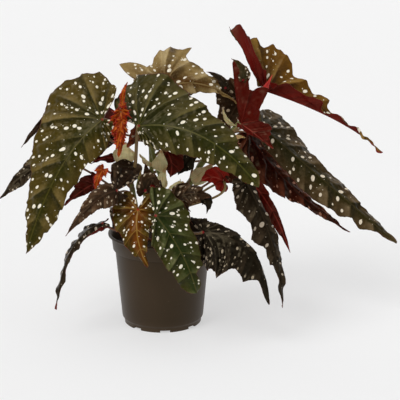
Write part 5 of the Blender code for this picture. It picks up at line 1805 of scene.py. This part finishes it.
    def build(self) -> bpy.types.Object:
        """Build the pot."""
        shell = add_piece(self.turned(self.profile()))
        cutter = self.cutter()
        cut = shell.modifiers.new("cut", "BOOLEAN")
        cut.operation = "DIFFERENCE"
        cut.solver = "EXACT"
        cut.object = cutter
        evaluated = shell.evaluated_get(bpy.context.evaluated_depsgraph_get())
        mesh = bpy.data.meshes.new_from_object(evaluated)
        for spare in (shell, cutter):
            bpy.data.objects.remove(spare, do_unlink=True)
        mesh.name = "pot_shell_dressed"
        mesh.shade_smooth()
        mesh.set_sharp_from_angle(angle=math.radians(38.0))
        mesh.materials.clear()
        mesh.materials.append(material_of(PotFinish()))
        return add_piece(mesh)


@dataclass
class Soil:
    """The soil's own finish and the loose crumbs on it."""

    radius: float = 51.0
    height: float = 89.0
    swell: float = 0.84
    density: float = 260000.0

    def top(self) -> bpy.types.Object:
        """Build the disc that the crumbs are scattered on."""
        points, faces = [(0.0, 0.0, self.height * MM)], []
        rings, sides = 10, 48
        for ring in range(1, rings + 1):
            for k in range(sides):
                turn = 2.0 * math.pi * k / sides
                x, y = (self.radius * ring / rings * f(turn) for f in (math.cos, math.sin))
                bumps = math.sin(x / 9.0 + 1.0) * math.cos(y / 7.0) + 0.6 * math.sin((x - y) / 5.0)
                points.append((x * MM, y * MM, (self.height + self.swell * bumps) * MM))
        for k in range(sides):
            after = (k + 1) % sides
            faces.append((0, 1 + k, 1 + after))
            for ring in range(rings - 1):
                low, high = 1 + ring * sides, 1 + (ring + 1) * sides
                faces.append((low + k, high + k, high + after, low + after))
        mesh = bpy.data.meshes.new("soil_top")
        mesh.from_pydata(points, [], faces)
        return add_piece(mesh)

    def build(self, node: bpy.types.Object) -> bpy.types.Object:
        """Dress the soil.

        Args:
            node: The soil's own solid, which stays.

        Returns:
            The crumbs.
        """
        for slot in node.material_slots:
            slot.material = material_of(SOIL)
        return ScatterTree().apply(self.top(), "soil_crumbs",
                                   {"Density": self.density, "Smallest": 0.5 * MM,
                                    "Largest": 2.1 * MM, "Seed": 4, "Material": material_of(CRUMB)})


@dataclass
class Fringe:
    """The fine red hairs on the margin of a young leaf."""

    length: float = 1.6
    tree: FringeTree = field(default_factory=FringeTree)

    def build(self, maker: LeafMaker) -> bpy.types.Object:
        """Stand hairs on a blade's margin.

        Args:
            maker: The blade's maker.

        Returns:
            The hairs.
        """
        sheet = maker.sheet()
        on_rim = np.flatnonzero(sheet.rim > 0.5)
        centre = np.array([maker.midrib(np.array([p]))[0][0] for p in sheet.flat[on_rim, 0]])
        ways = unit(sheet.points[on_rim] - centre)
        mesh = bpy.data.meshes.new("fringe_points")
        mesh.from_pydata([tuple(point * MM) for point in sheet.points[on_rim]], [], [])
        add_attribute(mesh, "way", ways)
        name = maker.blade.name.replace("leaf_", "hairs_")
        return self.tree.apply(add_piece(mesh), name, {"Length": self.length * MM, "Seed": 2,
                                                       "Material": material_of(HAIR)})


@dataclass
class Studio:
    """The pale floor and backdrop, the soft lights and the camera."""

    camera_place: tuple = (0.042, -1.350, 0.509)
    camera_tilt: float = 15.3
    focal_pixels: float = 1268.0
    sensor: float = 36.0
    floor_colour: Colour = srgb(168, 168, 168)
    floor_glow: float = 0.5
    floor_front: float = -12.0
    floor_back: float = 3.2
    floor_side: float = 16.0
    bend: float = 2.8
    backdrop_height: float = 12.0

    def floor(self) -> bpy.types.Object:
        """Build a floor that curves up into a backdrop, wide enough to hold a camera on any side."""
        profile = [(self.floor_front, 0.0), (self.floor_back, 0.0)]
        profile += [(self.floor_back + self.bend * math.sin(a), self.bend * (1.0 - math.cos(a)))
                    for a in np.linspace(0.0, 0.5 * math.pi, 17)[1:]]
        profile.append((self.floor_back + self.bend, self.backdrop_height))
        points = [(x, y, z) for y, z in profile for x in (-self.floor_side, self.floor_side)]
        faces = [(2 * k, 2 * k + 1, 2 * k + 3, 2 * k + 2) for k in range(len(profile) - 1)]
        mesh = bpy.data.meshes.new("studio_floor")
        mesh.from_pydata(points, [], faces)
        mesh.shade_smooth()
        net = Net("studio_floor_finish")
        grain = net.noise(net.place(), 900.0, 2.0)
        tone = net.mix(self.floor_colour, tuple(0.97 * c for c in self.floor_colour), grain)
        mesh.materials.append(net.finish(Base_Color=tone, Roughness=0.9, Specular_IOR_Level=0.1,
                                         Emission_Color=(1.0, 1.0, 1.0),
                                         Emission_Strength=self.floor_glow))
        return add_piece(mesh)

    def light(self, name: str, towards: tuple, spread: float, floor_share: float,
              colour: Colour = (1.0, 1.0, 1.0)) -> None:
        """Set a wide, far soft light.

        Args:
            name: The light's name.
            towards: The direction from the plant to the light.
            spread: How wide the light looks from the plant, in degrees.
            floor_share: How bright it makes a white floor, where 1 is white.
            colour: Its colour.
        """
        lamp = bpy.data.lights.new(name, "SUN")
        lamp.angle = math.radians(spread)
        direction = -unit(np.array(towards))
        lamp.energy = math.pi * floor_share / -direction[2]
        lamp.color = colour
        made = bpy.data.objects.new(name, lamp)
        made.location = towards
        made.rotation_euler = (math.acos(-direction[2]), 0.0,
                               math.atan2(direction[1], direction[0]) - 0.5 * math.pi)
        bpy.context.scene.collection.objects.link(made)

    def camera(self) -> None:
        """Stand the camera at the photograph's angle."""
        lens = bpy.data.cameras.new("camera")
        lens.sensor_width = self.sensor
        lens.lens = self.focal_pixels / IMAGE_SIZE * self.sensor
        made = bpy.data.objects.new("camera", lens)
        made.location = self.camera_place
        made.rotation_euler = (math.radians(90.0 - self.camera_tilt), 0.0, 0.0)
        bpy.context.scene.collection.objects.link(made)
        bpy.context.scene.camera = made

    def build(self) -> None:
        """Set the whole studio."""
        self.floor()
        world = bpy.data.worlds.new("studio")
        world.use_nodes = True
        background = world.node_tree.nodes["Background"]
        background.inputs["Color"].default_value = (*srgb(240, 240, 242), 1.0)
        background.inputs["Strength"].default_value = 0.08
        bpy.context.scene.world = world
        self.light("key", (-0.75, -0.75, 1.0), 36.0, 0.44)
        self.light("top", (0.1, 0.3, 1.0), 80.0, 0.36)
        self.light("fill", (0.9, -0.8, 0.6), 60.0, 0.07)
        bpy.context.scene.view_settings.view_transform = "Standard"
        self.camera()


def dress(piece: bpy.types.Object, slot: str, *nodes: str) -> None:
    """Say what a piece rides on and which nodes it stands for.

    Args:
        piece: The piece.
        slot: Its material slot; not used.
        nodes: The nodes that it stands for, if any.
    """
    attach(piece, "root")
    if nodes:
        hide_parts(*nodes)
    LOG.info("%s: %d faces", piece.name, len(piece.data.polygons))


def main() -> None:
    """Build the plant's dress and the studio."""
    logging.basicConfig(level=logging.INFO, format="%(name)s %(message)s")
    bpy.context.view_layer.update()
    Studio().build()
    makers = {blade.name: LeafMaker(blade) for blade in LEAVES}
    for name, maker in makers.items():
        dress(maker.build(), maker.blade.slot, name)
    for blade in FILLERS:
        makers[blade.name] = LeafMaker(blade)
        dress(makers[blade.name].build(), blade.slot)
    fringe = Fringe()
    for name in ("leaf_young_upper", "leaf_young_lower", "leaf_young_lobe", "leaf_young_top"):
        dress(fringe.build(makers[name]), ORANGE_SLOT)
    stems = Stems(makers)
    canes = {cane.name: cane for cane in CANES}
    for cane in CANES:
        dress(stems.build(cane), "cane", cane.name)
    for spot in BRACTS:
        blade = stems.bract_blade(spot, canes[spot.cane])
        dress(LeafMaker(blade).build(), blade.slot, spot.name)
    dress(Pot().build(), "pot_plastic", "pot")
    dress(Soil().build(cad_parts["soil"]), "soil")
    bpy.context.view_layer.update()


if __name__ == "__main__":
    main()
